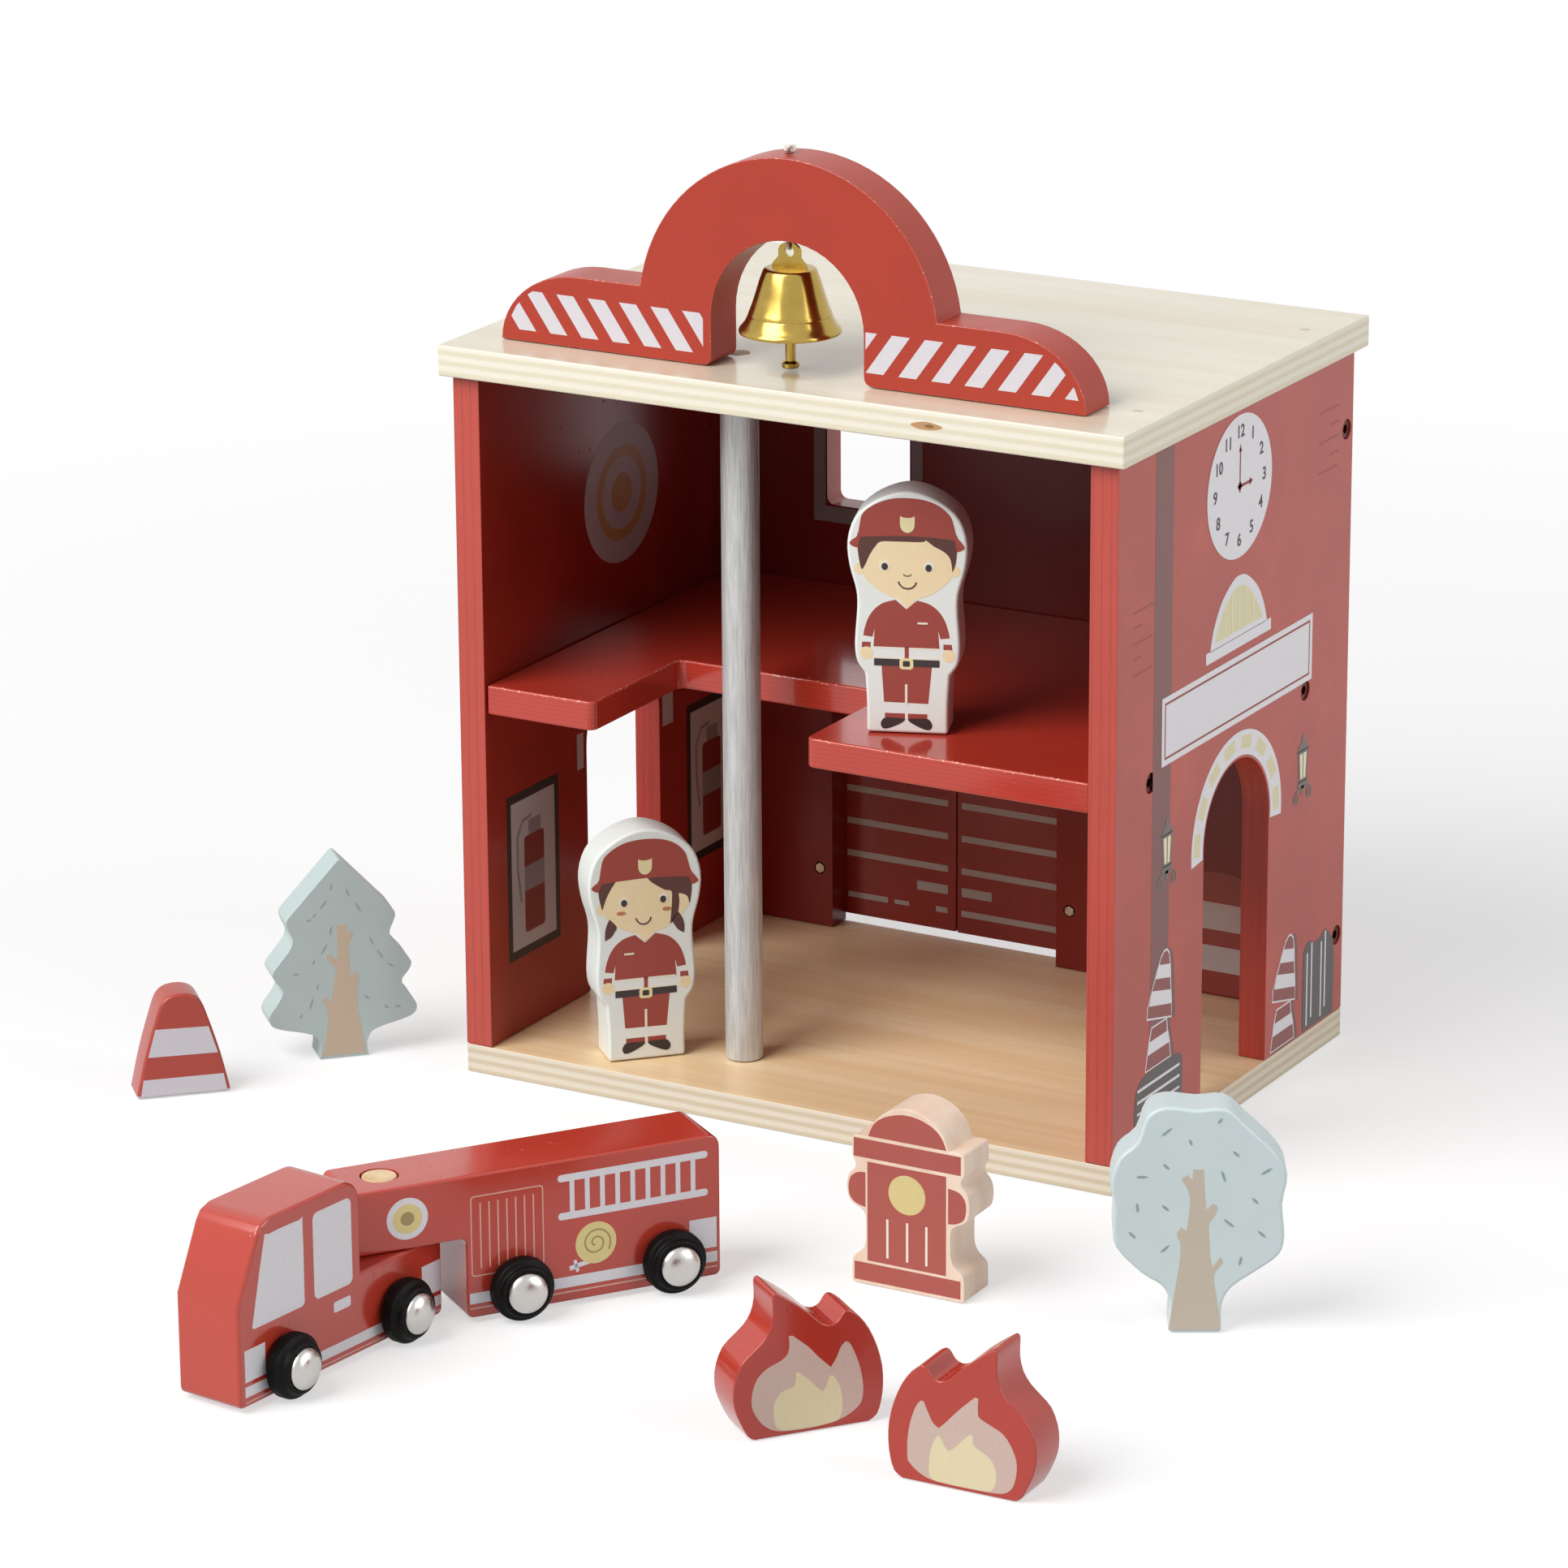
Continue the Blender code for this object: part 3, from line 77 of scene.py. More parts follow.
def tinted(tree, share, first, second):
    """Turns from the first colour to the second with share. A colour may be a hex code."""
    first, second = [ink(c) if isinstance(c, str) else c for c in (first, second)]
    return add(tree, "ShaderNodeMix", {0: share, 6: first, 7: second}, data_type="RGBA").outputs[2]


def embossed(tree, height, strength, distance, below=None):
    """A relief in the surface, on top of the relief below it."""
    sockets = {"Strength": strength, "Distance": distance, "Height": height}
    return add(tree, "ShaderNodeBump", {**sockets, "Normal": below} if below else sockets).outputs[0]


def fibres(tree, size, detail=3.0):
    """Streaks as the fibres of wood make them. size is one streak, or its x, y and z, in mm."""
    sizes = size if isinstance(size, (list, tuple)) else [size] * 3
    where = add(tree, "ShaderNodeTexCoord").outputs["Object"]
    stretched = add(tree, "ShaderNodeMapping", {"Vector": where, "Scale": [1000 / s for s in sizes]})
    return add(tree, "ShaderNodeTexNoise", {"Vector": stretched.outputs[0], "Scale": 1.0, "Detail": detail,
                                            "Roughness": 0.55}).outputs["Fac"]


def layer_waves(tree, across, sway, reach, length):
    """A wave through a board's layers, bent by sway. Its length is two layers."""
    where = add(tree, "ShaderNodeTexCoord").outputs["Object"]
    level = add(tree, "ShaderNodeSeparateXYZ", {0: where}).outputs[across]
    bent = maths(tree, "MULTIPLY_ADD", sway, reach, level)
    return maths(tree, "SINE", maths(tree, "MULTIPLY", bent, 2 * math.pi / length))


def set_shader(material, **values):
    """Sets or links the sockets of a material's shader."""
    tree = material.node_tree
    shader = tree.nodes["Principled BSDF"]
    for name, value in values.items():
        socket = shader.inputs[name.replace("_", " ")]
        if isinstance(value, bpy.types.NodeSocket):
            tree.links.new(value, socket)
        else:
            socket.default_value = value
    return material


def finish_named(name, **values):
    """A new material with its shader's plain values set, and its node tree."""
    material = bpy.data.materials.new(name)
    material.use_nodes = True
    return set_shader(material, **values), material.node_tree


def veneer(name, pale, dark, fleck, along, gloss):
    """Lacquered veneer: soft bands of early and late wood, and short dark rays along the grain."""
    def grain(length, width):
        return [length if axis == along else width for axis in "XYZ"]
    material, tree = finish_named(name, Roughness=gloss, IOR=1.5)
    bands = fibres(tree, grain(180, 7), 4.0)
    lines = fibres(tree, grain(90, 0.9), 2.0)
    rays = fibres(tree, grain(3.2, 0.55), 1.0)
    wood = tinted(tree, spread(tree, bands, 0.36, 0.66), pale, dark)
    wood = tinted(tree, spread(tree, lines, 0.50, 0.80, 0.0, 0.12), wood, dark)
    wood = tinted(tree, spread(tree, rays, 0.66, 0.74, 0.0, 0.30), wood, fleck)
    worn = spread(tree, bands, 0.3, 0.7, gloss - 0.06, gloss + 0.1)
    dent = embossed(tree, lines, 0.25, 0.00006)
    return set_shader(material, Base_Color=wood, Roughness=worn, Normal=dent)


def ply_edge(name, pale, dark):
    """Sanded plywood edge: long grain and end grain layers in turn, with pores in the end grain."""
    layer = 0.00178
    material, tree = finish_named(name, Roughness=0.5, IOR=1.5)
    tone = spread(tree, layer_waves(tree, "Z", fibres(tree, 14, 2.0), 0.00045, 2 * layer), -0.55, 0.75)
    pores = spread(tree, fibres(tree, [1.1, 1.1, 0.35], 2.0), 0.55, 0.8, 0.0, 0.4)
    wood = tinted(tree, pores, tinted(tree, tone, pale, dark), dark)
    return set_shader(material, Base_Color=wood, Normal=embossed(tree, tone, 0.4, 0.00008))


def placed(name, data):
    """A new object with the data, in the scene."""
    obj = bpy.data.objects.new(name, data)
    bpy.context.scene.collection.objects.link(obj)
    return obj


def dressed(obj, body, slot=None, *replaced):
    """Lets a piece ride on its CAD body, in place of its plain CAD nodes."""
    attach(obj, body)
    if replaced:
        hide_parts(*replaced)
    return obj


def smoothed(piece, bm, finishes, angle, even=True):
    """Turns a bmesh into an object whose round parts shade smoothly and whose flats stay flat."""
    mesh = bpy.data.meshes.new(piece)
    bm.to_mesh(mesh)
    bm.free()
    for finish in finishes:
        mesh.materials.append(finish)
    mesh.shade_smooth()
    mesh.set_sharp_from_angle(angle=math.radians(angle))
    obj = placed(piece, mesh)
    if even:
        obj.modifiers.new("Even shading", "WEIGHTED_NORMAL").keep_sharp = True
    return obj


def sanded(piece, node, body, slot, ease, finishes, pick=None):
    """A copy of a CAD piece that rides in its place, with its sharp edges sanded round by ease.
    pick gives the finish of a face by its normal and its middle."""
    sharp = math.radians(32)
    bm = bmesh.new()
    source = nodes[node].data
    for polygon in source.polygons:
        bm.faces.new([bm.verts.new(source.vertices[i].co) for i in polygon.vertices])
    bmesh.ops.remove_doubles(bm, verts=bm.verts, dist=2e-6)
    bmesh.ops.dissolve_limit(bm, angle_limit=math.radians(0.5), verts=bm.verts, edges=bm.edges)
    if ease:
        edges = [e for e in bm.edges if len(e.link_faces) == 2 and e.calc_face_angle(0) > sharp]
        bmesh.ops.bevel(bm, geom=edges, offset=ease, offset_type="OFFSET", segments=2, profile=0.5,
                        affect="EDGES", clamp_overlap=True)
    bmesh.ops.recalc_face_normals(bm, faces=bm.faces)
    for face in bm.faces:
        face.material_index = pick(face.normal, face.calc_center_median()) if pick else 0
    return dressed(smoothed(piece, bm, finishes, 52 if ease else 34), body, slot, node)


EDGE_EASE = 0.0007
beech_top = veneer("lacquered beech veneer", "F0D4AA", "E5C395", "CFA676", "X", 0.30)
base_edge = ply_edge("sanded plywood edge of the base", "E3D8C5", "D2C2A6")
sanded("base_plywood", "base_board", "house", "beech_board", EDGE_EASE, [beech_top, base_edge],
       lambda n, c: 0 if abs(n.z) > 0.9 else 1)


# Side walls. 10 mm plywood with an arched doorway each, sprayed with glossy red enamel and
# printed. The layers of the plywood show through the paint on the cut edges as fine lines.

def darker(code, share):
    return [c * share for c in ink(code)[:3]] + [1.0]


def enamel(name, code, gloss, across=None, grain=(60, 60, 60), layer=0.0016, coat=0.0, soaked=0.0,
           chipped=0.0, specular=0.5):
    """Sprayed enamel on sanded wood: cloudy colour, faint raised grain, orange peel and small dents.
    across is the axis through the board's layers, whose lines show on its cut edges; soaked is how
    far the grain drinks the paint there, chipped how much is rubbed off down to the primer."""
    material, tree = finish_named(name, Roughness=gloss, IOR=1.5, Coat_Weight=coat, Coat_Roughness=0.08,
                                  Specular_IOR_Level=specular)
    cloud = fibres(tree, 38)
    raised = fibres(tree, grain)
    paint = tinted(tree, spread(tree, cloud, 0.3, 0.7), darker(code, 0.93), code)
    if soaked:
        paint = tinted(tree, spread(tree, raised, 0.44, 0.62, 0.0, soaked), paint, darker(code, 0.5))
    if across:
        gap = spread(tree, layer_waves(tree, across, cloud, 0.0006, layer), 0.55, 0.98, 0.0, 0.3)
        paint = tinted(tree, gap, paint, darker(code, 0.5))
        raised = maths(tree, "MULTIPLY_ADD", gap, -1.6, raised)
    if chipped:
        rubbed = spread(tree, fibres(tree, [1.6, 0.8, 0.8], 2.0), 0.60, 0.66, 0.0, chipped)
        paint = tinted(tree, rubbed, paint, "E3B09C")
    peel = embossed(tree, fibres(tree, 1.6, 2.0), 0.08, 0.00005)
    grained = embossed(tree, raised, 0.12 + soaked, 0.00012, peel)
    dents = spread(tree, fibres(tree, 2.4, 0.0), 0.80, 0.86, 1.0, 0.0)
    dented = embossed(tree, dents, 0.5, 0.00015, grained)
    sheen = spread(tree, cloud, 0.3, 0.7, gloss + 0.02, gloss - 0.015)
    return set_shader(material, Base_Color=paint, Roughness=sheen, Normal=dented)


def printing_ink(name, code, gloss=0.38):
    """Screen ink: an even satin film whose colour varies with the mesh it was pressed through."""
    material, tree = finish_named(name, Roughness=gloss, IOR=1.5)
    speck = spread(tree, fibres(tree, 1.3), 0.35, 0.7)
    film = tinted(tree, speck, darker(code, 0.96), code)
    return set_shader(material, Base_Color=film, Normal=embossed(tree, speck, 0.1, 0.00004))


def face_frame(x, y, z, turn_deg):
    """Where an upright face lies: millimetres across, up and out of it become metres in the room."""
    t = math.radians(turn_deg)
    across = Vector((math.cos(t), math.sin(t), 0))
    out = Vector((math.sin(t), -math.cos(t), 0))
    turn = Matrix([across, (0, 0, 1), out]).transposed().to_4x4()
    return Matrix.Translation((x, y, z)) @ turn @ Matrix.Scale(0.001, 4)


def drawn(points, steps=5):
    """A closed outline through the points, curved except where a point has a third entry."""
    ring = []
    count = len(points)
    for i in range(count):
        b, c = points[i], points[(i + 1) % count]
        a = b if len(b) > 2 else points[i - 1]
        d = c if len(c) > 2 else points[(i + 2) % count]
        for k in range(steps):
            t = k / steps
            ring.append(tuple(0.5 * (2 * b[j] + (c[j] - a[j]) * t
                                     + (2 * a[j] - 5 * b[j] + 4 * c[j] - d[j]) * t * t
                                     + (3 * b[j] - a[j] - 3 * c[j] + d[j]) * t ** 3) for j in (0, 1)))
    return ring


def oval(u, v, ru, rv=None, start=0, stop=360, steps=28):
    rv = ru if rv is None else rv
    count = steps if stop - start == 360 else steps + 1
    angles = [math.radians(start + (stop - start) * k / steps) for k in range(count)]
    return [(u + ru * math.cos(a), v + rv * math.sin(a)) for a in angles]


def panel(u0, v0, u1, v1, r=0.0):
    """A rectangle, with round corners where r is given."""
    if not r:
        return [(u0, v0), (u1, v0), (u1, v1), (u0, v1)]
    corners = ((u1 - r, v0 + r, -90), (u1 - r, v1 - r, 0), (u0 + r, v1 - r, 90), (u0 + r, v0 + r, 180))
    return [p for u, v, start in corners for p in oval(u, v, r, r, start, start + 90, 5)]


def arch_band(u, v, r_in, r_out, start, stop, steps=32):
    return oval(u, v, r_out, r_out, start, stop, steps) + oval(u, v, r_in, r_in, start, stop, steps)[::-1]


def brushed_line(points, width):
    """The outline of a line of even width through the points."""
    left, right = [], []
    for i, p in enumerate(points):
        a, b = points[max(i - 1, 0)], points[min(i + 1, len(points) - 1)]
        du, dv = b[0] - a[0], b[1] - a[1]
        size = math.hypot(du, dv) or 1.0
        nu, nv = -dv / size * width / 2, du / size * width / 2
        left.append((p[0] + nu, p[1] + nv))
        right.append((p[0] - nu, p[1] - nv))
    return right + left[::-1]


def moved(ring, u, v):
    return [(p[0] + u, p[1] + v) for p in ring]


FILM_OUT = 0.035
FILM_THICK = 0.013
FILM_ROOT = -0.12


def printed(piece, body, place, layers, out=FILM_OUT):
    """Ink films pressed one over another on the face at place. Each layer is an ink and its outlines
    in mm. A film is a thin closed plate that starts just below the paint."""
    bm = bmesh.new()
    inks = []
    for level, (colour, outlines) in enumerate(layers):
        if colour not in inks:
            inks.append(colour)
        for ring in outlines:
            area = sum(a[0] * b[1] - b[0] * a[1] for a, b in zip(ring, ring[1:] + ring[:1]))
            ring = ring if area > 0 else ring[::-1]
            high, low = [[bm.verts.new(place @ Vector((u, v, w))) for u, v in ring]
                         for w in (out + FILM_THICK * level, FILM_ROOT)]
            sides = [(low[i - 1], low[i], high[i], high[i - 1]) for i in range(len(ring))]
            for corners in [high, low[::-1]] + sides:
                bm.faces.new(corners).material_index = inks.index(colour)
    bm.normal_update()
    bmesh.ops.triangulate(bm, faces=[f for f in bm.faces if len(f.verts) > 4])
    mesh = bpy.data.meshes.new(piece)
    bm.to_mesh(mesh)
    bm.free()
    for colour in inks:
        mesh.materials.append(colour)
    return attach(placed(piece, mesh), body)


FLAT_GRAIN = (2.4, 2.4, 70)
CUT_GRAIN = (0.42, 2.4, 60)
CUT_LAYER = 0.0033
wall_finishes = [enamel("red enamel on plywood walls", "BD4534", 0.27, "X", FLAT_GRAIN),
                 # The inner faces take a darker red than the outside: painted shade for the dim inside of the
                 # house.
                 enamel("red enamel on the inner faces, darkened as painted shade", "A42E20", 0.22, "X", FLAT_GRAIN),
                 enamel("red enamel soaked into the cut edges", "C04C3F", 0.33, "X", CUT_GRAIN, CUT_LAYER,
                        soaked=0.16),
                 # The doorways take a darker red and a deeper soak of the grain: painted shade, as the jambs
                 # lie in the wall's shadow.
                 enamel("red enamel in the doorways, darkened as painted shade", "B23528", 0.42, "X", CUT_GRAIN, CUT_LAYER, soaked=0.42)]


def wall_finish(inward):
    """Picks the outside, the inside, the cut edges or the doorway of a side wall."""
    return lambda n, c: 1 if n.x * inward > 0.9 else 0 if abs(n.x) > 0.4 else 3 if abs(c.y) < 0.08 else 2


for side, inward in (("left", 1), ("right", -1)):
    sanded(f"{side}_wall_painted", f"{side}_wall", "house", "house_red", EDGE_EASE, wall_finishes,
           wall_finish(inward))

lilac_white = printing_ink("lilac white screen ink", "E6E3E7")
mauve_grey = printing_ink("mauve grey screen ink", "7A4A46")
slate_grey = printing_ink("slate grey screen ink", "504A4A")
lamp_grey = printing_ink("warm grey screen ink of the lanterns", "6A625C")
lamp_cream = printing_ink("cream screen ink of the lantern panes", "F0E4C2")
pane_yellow = printing_ink("soft yellow screen ink of the fanlight", "DED6AC")
shadow_brown = printing_ink("brown shadow screen ink", "74443F")
number_black = printing_ink("near black screen ink", "352E32")
maroon = printing_ink("maroon screen ink", "8E332C")
cone_maroon = printing_ink("mauve red screen ink", "8A4440")
glazing_cream = printing_ink("cream screen ink of the glazing bars", "EAE3C4")
brick_line = printing_ink("brick line ink, a little darker than the wall", "9A3A30")


def shrunk(ring, by):
    """A ring drawn in towards its middle."""
    mu, mv = sum(p[0] for p in ring) / len(ring), sum(p[1] for p in ring) / len(ring)
    sizes = [math.hypot(p[0] - mu, p[1] - mv) for p in ring]
    return [(p[0] - by * (p[0] - mu) / size, p[1] - by * (p[1] - mv) / size) for p, size in zip(ring, sizes)]


def striped_cone(u, v):
    """A printed road cone in two tiers, moved to u, v: its outlines, their fields and slanted bands."""
    upper = [(-64.5, 53.6), (-46.0, 49.2), (-45.9, 55), (-46.6, 62), (-47.2, 69), (-48.0, 72.8),
             (-49.8, 74.6), (-52, 74.6), (-54.2, 73.2), (-57.4, 69), (-61, 63), (-64.2, 58)]
    lower = [(-65.4, 35.4), (-46.0, 35.4), (-47.0, 40.6), (-48.8, 46), (-49.3, 50.2), (-61.0, 50.2),
             (-62.7, 46), (-64.2, 41)]
    bands = [[(-58.8, 66.4), (-46.9, 63.6), (-47.2, 68.4), (-56.2, 70.6)],
             [(-63.2, 58.2), (-46.2, 54.2), (-46.6, 59.2), (-60.8, 62.8)],
             [(-64.2, 41.0), (-47.1, 41.0), (-48.6, 45.4), (-62.6, 45.4)]]
    groups = ([upper, lower], [shrunk(upper, 0.75), shrunk(lower, 0.75)], bands)
    return [[moved(ring, u, v) for ring in group] for group in groups]


def wall_lantern(u, v):
    """A printed lantern about u, v: its grey frame and its pale panes."""
    roof = [(-5, 7.5), (5, 7.5), (1.2, 11), (0.8, 13.2), (-0.8, 13.2), (-1.2, 11)]
    body = [(-4.2, 7.8), (-3, -3.5), (3, -3.5), (4.2, 7.8)]
    curls = [arch_band(-5.2, -8.6, 1.5, 2.2, 100, 440, 20), arch_band(5.2, -8.6, 1.5, 2.2, -260, 80, 20)]
    drops = [oval(side * 5.2, -8.8, 0.8, 1.1, steps=12) for side in (-1, 1)]
    arm = brushed_line([(-5, -6.2), (0, -5.6), (5, -6.2)], 0.9)
    panes = [[(-2.7, 6.6), (-1.9, -2.4), (-0.35, -2.4), (-0.35, 6.6)],
             [(0.35, 6.6), (0.35, -2.4), (1.9, -2.4), (2.7, 6.6)]]
    parts = [roof, body, panel(-4, -5.2, 4, -3.2), panel(-1, -8, 1, -5), *curls, *drops, arm]
    return [[moved(ring, u, v) for ring in group] for group in (parts, panes)]


def flipped(layers, mirror):
    """The same layers, mirrored across where mirror is -1."""
    return [(colour, [[(mirror * u, v) for u, v in ring] for ring in rings]) for colour, rings in layers]


def every(groups, key):
    """The rings that lie at key in each of the groups."""
    return [ring for group in groups for ring in group[key]]


DIAL_V = 220.8


def outside_print(piece, place, mirror, with_clock):
    """The print on the outside of a side wall: doorway trim, fanlight, lanterns, downpipe, cones and
    drums, and on the right wall also the clock and the plate."""
    fanlight = drawn([(-20.5, 168.8, 0), (-18, 176), (-12, 184), (-4, 189), (1, 190), (7, 188.6), (15, 183),
                      (20, 176), (23, 168.8, 0)])
    pane = drawn([(-16.8, 171.0, 0), (-14.6, 175.8), (-9.8, 181.4), (-3.2, 185.4), (1, 186.4), (6, 185.2),
                  (12.2, 180.4), (16.6, 175.6), (19.2, 171.0, 0)])
    glazing = [panel(u - 0.35, 171.4, u + 0.35, 170.6 + 15.0 * math.sqrt(1 - ((u - 1.2) / 18.4) ** 2))
               for u in (-9.6, -4.2, 1.2, 6.6, 12.0)]
    sill = panel(-23.5, 165, 26, 169)
    trim = arch_band(2, 100.5, 26.0, 34.6, -6, 186)
    lamps = [wall_lantern(-51, 107), wall_lantern(53.5, 107)]
    cones = [striped_cone(0, 0), striped_cone(96.7, -24.2)]
    shadows = [moved(ring, 2.4, -0.6) for ring in every(cones, 0)]
    low_drum = drawn([(-70, 11, 0), (-72.6, 16), (-73, 23), (-72.2, 29), (-69.5, 33), (-64.5, 35, 0),
                      (-41, 35, 0), (-38.4, 33.8), (-37.5, 31), (-37.5, 14), (-38.2, 11, 0)], 3)
    tall_drum = drawn([(57.2, 11, 0), (56.8, 24), (57, 38), (58, 41), (60.5, 42.8), (63.5, 42.7),
                       (65.8, 41.5), (70.4, 41.6), (72, 42.7), (74.6, 43.6), (78.2, 41.2), (81.2, 37.0),
                       (82, 29), (81.6, 11, 0)], 3)
    drum_lines = [panel(-71, low, -39.5, high) for low, high in ((30.1, 31.1), (26.1, 27.1), (22.1, 22.9))]
    drum_lines += [panel(u, low, u + 1.0, high)
                   for u, low, high in ((59.6, 12.4, 39), (63.2, 14.5, 42), (71.0, 12.4, 40), (74.2, 15, 43))]
    layers = [(mauve_grey, [panel(-62, 10.9, -49, 247.6)]), (shadow_brown, shadows),
              (lilac_white, [fanlight, sill, trim] + every(cones, 0)), (pane_yellow, [pane]),
              (slate_grey, [low_drum, tall_drum]), (lamp_grey, every(lamps, 0)),
              (cone_maroon, every(cones, 1)), (glazing_cream, glazing),
              (lilac_white, drum_lines + every(cones, 2)), (lamp_cream, every(lamps, 1))]
    if with_clock:
        hands = [brushed_line([(0, 218.6), (0, 233.6)], 0.9),
                 brushed_line([(-1.6, DIAL_V), (8.2, DIAL_V)], 1.1), oval(0, DIAL_V, 1.5, steps=16),
                 [(-1.2, 232.6), (1.2, 232.6), (0, 235.4)], [(7.2, 219.4), (7.2, 222.2), (10, DIAL_V)]]
        layers += [(lilac_white, [panel(-56, 138.8, 59, 162.2), oval(0, DIAL_V, 24.5, steps=64)]),
                   (maroon, [panel(-54, 140.8, 57, 160.2)]),
                   (lilac_white, [panel(-53.2, 141.6, 56.2, 159.4)]), (maroon, hands)]
    return printed(piece, "house", place, flipped(layers, mirror))


WALL_IN, WALL_OUT = [corner.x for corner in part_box("right_wall")]
right_outside = face_frame(WALL_OUT, 0, 0, 90)
left_outside = face_frame(-WALL_OUT, 0, 0, -90)
outside_print("right_wall_print", right_outside, 1, True)
outside_print("left_wall_print", left_outside, -1, False)


def mesh_of(holder):
    """The plain mesh that an object comes to. The object then goes."""
    bpy.context.view_layer.update()
    mesh = bpy.data.meshes.new_from_object(holder.evaluated_get(bpy.context.evaluated_depsgraph_get()))
    bpy.data.objects.remove(holder)
    return mesh


def joined(meshes):
    """One bmesh of several meshes, which then go."""
    bm = bmesh.new()
    for mesh in meshes:
        bm.from_mesh(mesh)
        bpy.data.meshes.remove(mesh)
    return bm


def clock_number(hour):
    """One printed number of the dial, as a flat plate of mesh."""
    letter = bpy.data.curves.new("number", "FONT")
    letter.body = str(hour)
    letter.size, letter.extrude, letter.offset = 6.0, 0.06, 0.12
    letter.align_x, letter.align_y = "CENTER", "CENTER"
    letter.resolution_u = 4
    turn = math.radians(90 - 30 * hour)
    mesh = mesh_of(placed("number", letter))
    place = Matrix.Translation((18.6 * math.cos(turn), DIAL_V + 18.6 * math.sin(turn), 0.19))
    mesh.transform(right_outside @ place)
    return mesh


dial = joined([clock_number(hour) for hour in range(1, 13)])
dressed(smoothed("clock_numbers", dial, [number_black], 20, even=False), "house")


def growth(name, *inputs):
    """A new Geometry Nodes tree with named inputs, and the sockets that they come from."""
    tree = bpy.data.node_groups.new(name, "GeometryNodeTree")
    for word, kind in (("Geometry", "Geometry"), *inputs, ("Finish", "Material")):
        tree.interface.new_socket(word, in_out="INPUT", socket_type=f"NodeSocket{kind}")
    tree.interface.new_socket("Geometry", in_out="OUTPUT", socket_type="NodeSocketGeometry")
    return tree, add(tree, "NodeGroupInput").outputs


def full_grown(tree, given, geometry):
    """Ends a tree: the geometry made real, in the given finish."""
    real = add(tree, "GeometryNodeRealizeInstances", {0: geometry})
    inked = add(tree, "GeometryNodeSetMaterial", {"Geometry": real.outputs[0], "Material": given["Finish"]})
    add(tree, "NodeGroupOutput", {"Geometry": inked.outputs[0]})
    return tree


def outward_copies(tree, points, block):
    """A block on each point, turned away from the middle."""
    middle = add(tree, "GeometryNodeInputPosition").outputs[0]
    outward = add(tree, "FunctionNodeAlignRotationToVector", {"Vector": middle}, axis="X")
    return add(tree, "GeometryNodeInstanceOnPoints", {"Points": points, "Instance": block,
                                                      "Rotation": outward.outputs[0]}).outputs[0]


def row_tree():
    """A row of flat bars: count, first place, step, bar size and slant, all in mm."""
    tree, given = growth("row of bars", ("Count", "Int"), ("Start", "Vector"), ("Step", "Vector"),
                         ("Bar", "Vector"), ("Slant", "Float"))
    line = add(tree, "GeometryNodeMeshLine", {"Count": given["Count"], "Start Location": given["Start"],
                                              "Offset": given["Step"]}, mode="OFFSET")
    bar = add(tree, "GeometryNodeMeshCube", {"Size": given["Bar"]})
    height = add(tree, "ShaderNodeSeparateXYZ", {0: add(tree, "GeometryNodeInputPosition").outputs[0]})
    lean = maths(tree, "MULTIPLY", height.outputs["Y"], given["Slant"])
    push = add(tree, "ShaderNodeCombineXYZ", {0: lean})
    slanted = add(tree, "GeometryNodeSetPosition", {"Geometry": bar.outputs["Mesh"],
                                                    "Offset": push.outputs[0]})
    copies = add(tree, "GeometryNodeInstanceOnPoints", {"Points": line.outputs["Mesh"],
                                                        "Instance": slanted.outputs[0]})
    return full_grown(tree, given, copies.outputs[0])


def grown(tree, base_mesh=None, **values):
    """Runs a Geometry Nodes tree once with its named inputs and gives the plain mesh."""
    holder = placed("grown", base_mesh or bpy.data.meshes.new("grown"))
    step = holder.modifiers.new("grow", "NODES")
    step.node_group = tree
    for socket in tree.interface.items_tree:
        if socket.in_out == "INPUT" and socket.name in values:
            step[socket.identifier] = values[socket.name]
    return mesh_of(holder)


bar_row = row_tree()


def bars(row, colour, out):
    """Printed bars from a count, first middle, step, bar size and slant, out mm above the face."""
    count, start, step, bar, slant = row
    thick = 0.2
    return grown(bar_row, Count=count, Start=(*start, out - thick / 2), Step=(*step, 0.0), Bar=(*bar, thick),
                 Slant=slant, Finish=colour)


def row_print(piece, body, place, rows, colour, out=0.045):
    meshes = [bars(row, colour, out) for row in rows]
    for mesh in meshes:
        mesh.transform(place)
    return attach(smoothed(piece, joined(meshes), [colour], 20, even=False), body)


def arc_tree():
    """Blocks that follow an arc, as the stones of an arch do."""
    tree, given = growth("blocks on an arc", ("Count", "Int"), ("Radius", "Float"), ("Start Angle", "Float"),
                         ("Sweep Angle", "Float"), ("Block", "Vector"))
    sizes = {word: given[word] for word in ("Radius", "Start Angle", "Sweep Angle")}
    arc = add(tree, "GeometryNodeCurveArc", {"Resolution": 64, **sizes}, mode="RADIUS")
    points = add(tree, "GeometryNodeCurveToPoints", {"Curve": arc.outputs[0], "Count": given["Count"]},
                 mode="COUNT")
    block = add(tree, "GeometryNodeMeshCube", {"Size": given["Block"]})
    return full_grown(tree, given, outward_copies(tree, points.outputs[0], block.outputs["Mesh"]))


